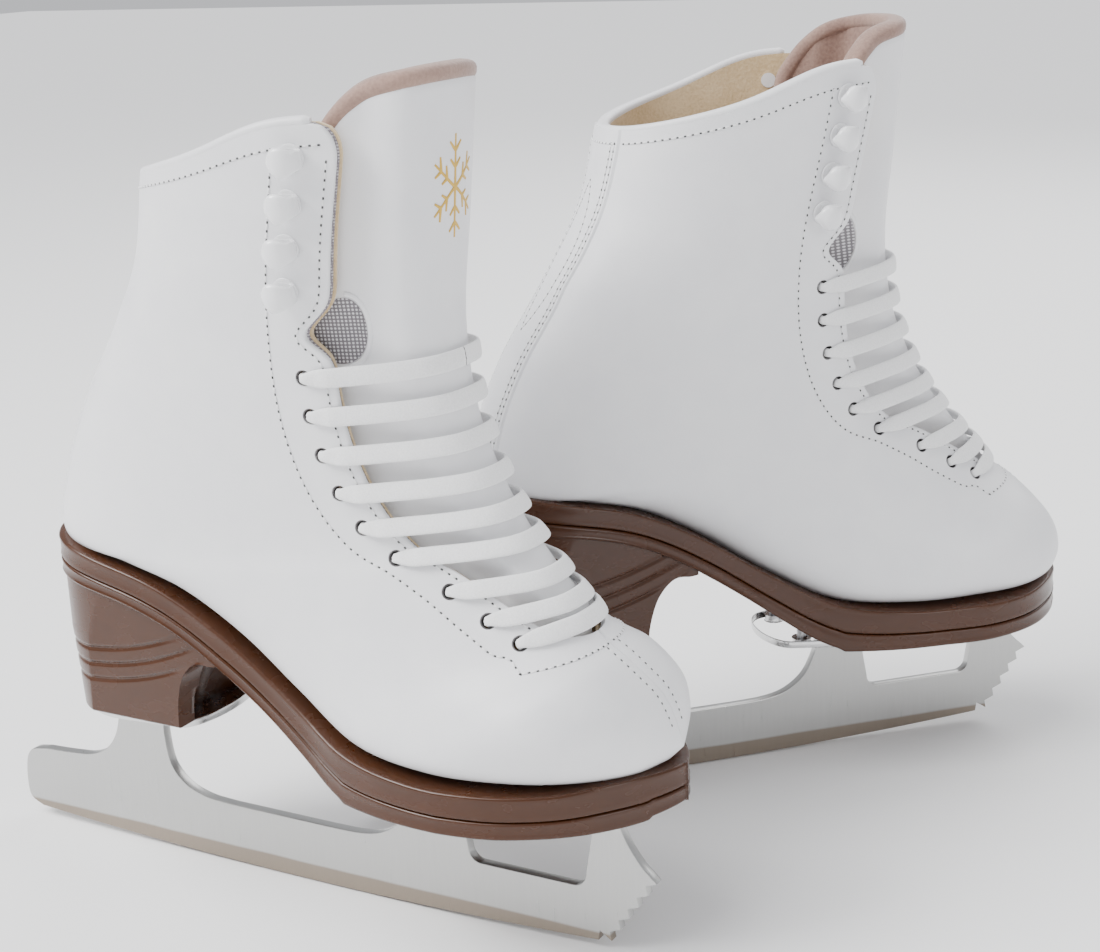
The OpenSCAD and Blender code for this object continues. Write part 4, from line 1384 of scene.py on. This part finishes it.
for side in SIDES:
    v, faces = heel_solid()
    make_piece("heel_board", v, faces, side, brown_board, "heel_brown", stands_for=["heel_block"], sharp=40)

# ---------------------------------------------------------------------------------------------
# Hidden parts. The insole board, shank, footbed, heel counter, toe puff and collar padding are
# inside the boot, so they stay as they are and only take their finish.
# ---------------------------------------------------------------------------------------------
fibre_board = suede("fibre_board", (0.42, 0.3, 0.18), (0.58, 0.45, 0.3), 500)
pad_foam = suede("pad_foam", (0.66, 0.58, 0.4), (0.8, 0.72, 0.54), 700)
footbed_cloth = suede("footbed_cloth", (0.5, 0.46, 0.42), (0.66, 0.62, 0.56), 900)
shank_steel = polished_steel("shank_steel", (0.5, 0.5, 0.5), 0.4)
inside_finish = {"insole_board": fibre_board, "shank": shank_steel, "footbed": footbed_cloth,
                 "heel_counter": fibre_board, "toe_puff": fibre_board, "collar_padding": pad_foam}
for side in SIDES:
    for node, finish in inside_finish.items():
        part = bpy.data.objects[f"{side}_{node}"]
        for slot in part.material_slots:
            slot.material = finish

# ---------------------------------------------------------------------------------------------
# Studio. A pale floor under broad, even light from overhead, with three soft boxes round the pair.
# ---------------------------------------------------------------------------------------------
floor_mesh = bpy.data.meshes.new("studio_floor")
floor_z, floor_half = -0.0005, 6
corners = [(x * floor_half, y * floor_half, floor_z) for x, y in ((-1, -1), (1, -1), (1, 1), (-1, 1))]
floor_mesh.from_pydata(corners, [], [(0, 1, 2, 3)])
floor = bpy.data.objects.new("studio_floor", floor_mesh)
bpy.context.scene.collection.objects.link(floor)
floor_paint = bpy.data.materials.new("floor_paint")
floor_paint.use_nodes = True
floor_shader = floor_paint.node_tree.nodes["Principled BSDF"]
floor_shader.inputs["Base Color"].default_value = (0.93, 0.93, 0.93, 1)
floor_shader.inputs["Roughness"].default_value = 0.7
floor.data.materials.append(floor_paint)
floor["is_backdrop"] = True


def softbox(name, place, target, size, power):
    data = bpy.data.lights.new(name, "AREA")
    data.shape = "RECTANGLE"
    data.size, data.size_y = size
    data.energy = power
    light = bpy.data.objects.new(name, data)
    bpy.context.scene.collection.objects.link(light)
    light.location = place
    light.rotation_euler = (Vector(target) - Vector(place)).to_track_quat("-Z", "Y").to_euler()


softbox("key_light", (-0.8, -0.9, 1.2), (0, 0, 0.12), (0.8, 0.6), 24)
softbox("fill_light", (1.7, -0.7, 0.9), (0, 0, 0.12), (0.7, 0.7), 8)
softbox("back_light", (0.2, 1.5, 1.2), (0, 0, 0.15), (1.8, 0.9), 16)
overhead_data = bpy.data.lights.new("overhead_light", "SUN")
overhead_data.energy = 2.6
overhead_data.angle = math.radians(50)
overhead = bpy.data.objects.new("overhead_light", overhead_data)
bpy.context.scene.collection.objects.link(overhead)
overhead.rotation_euler = (math.radians(24), math.radians(-22), 0)
world = bpy.data.worlds.new("studio")
world.use_nodes = True
world.node_tree.nodes["Background"].inputs["Color"].default_value = (0.95, 0.96, 1.0, 1)
world.node_tree.nodes["Background"].inputs["Strength"].default_value = 0.7
bpy.context.scene.world = world

low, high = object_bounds()
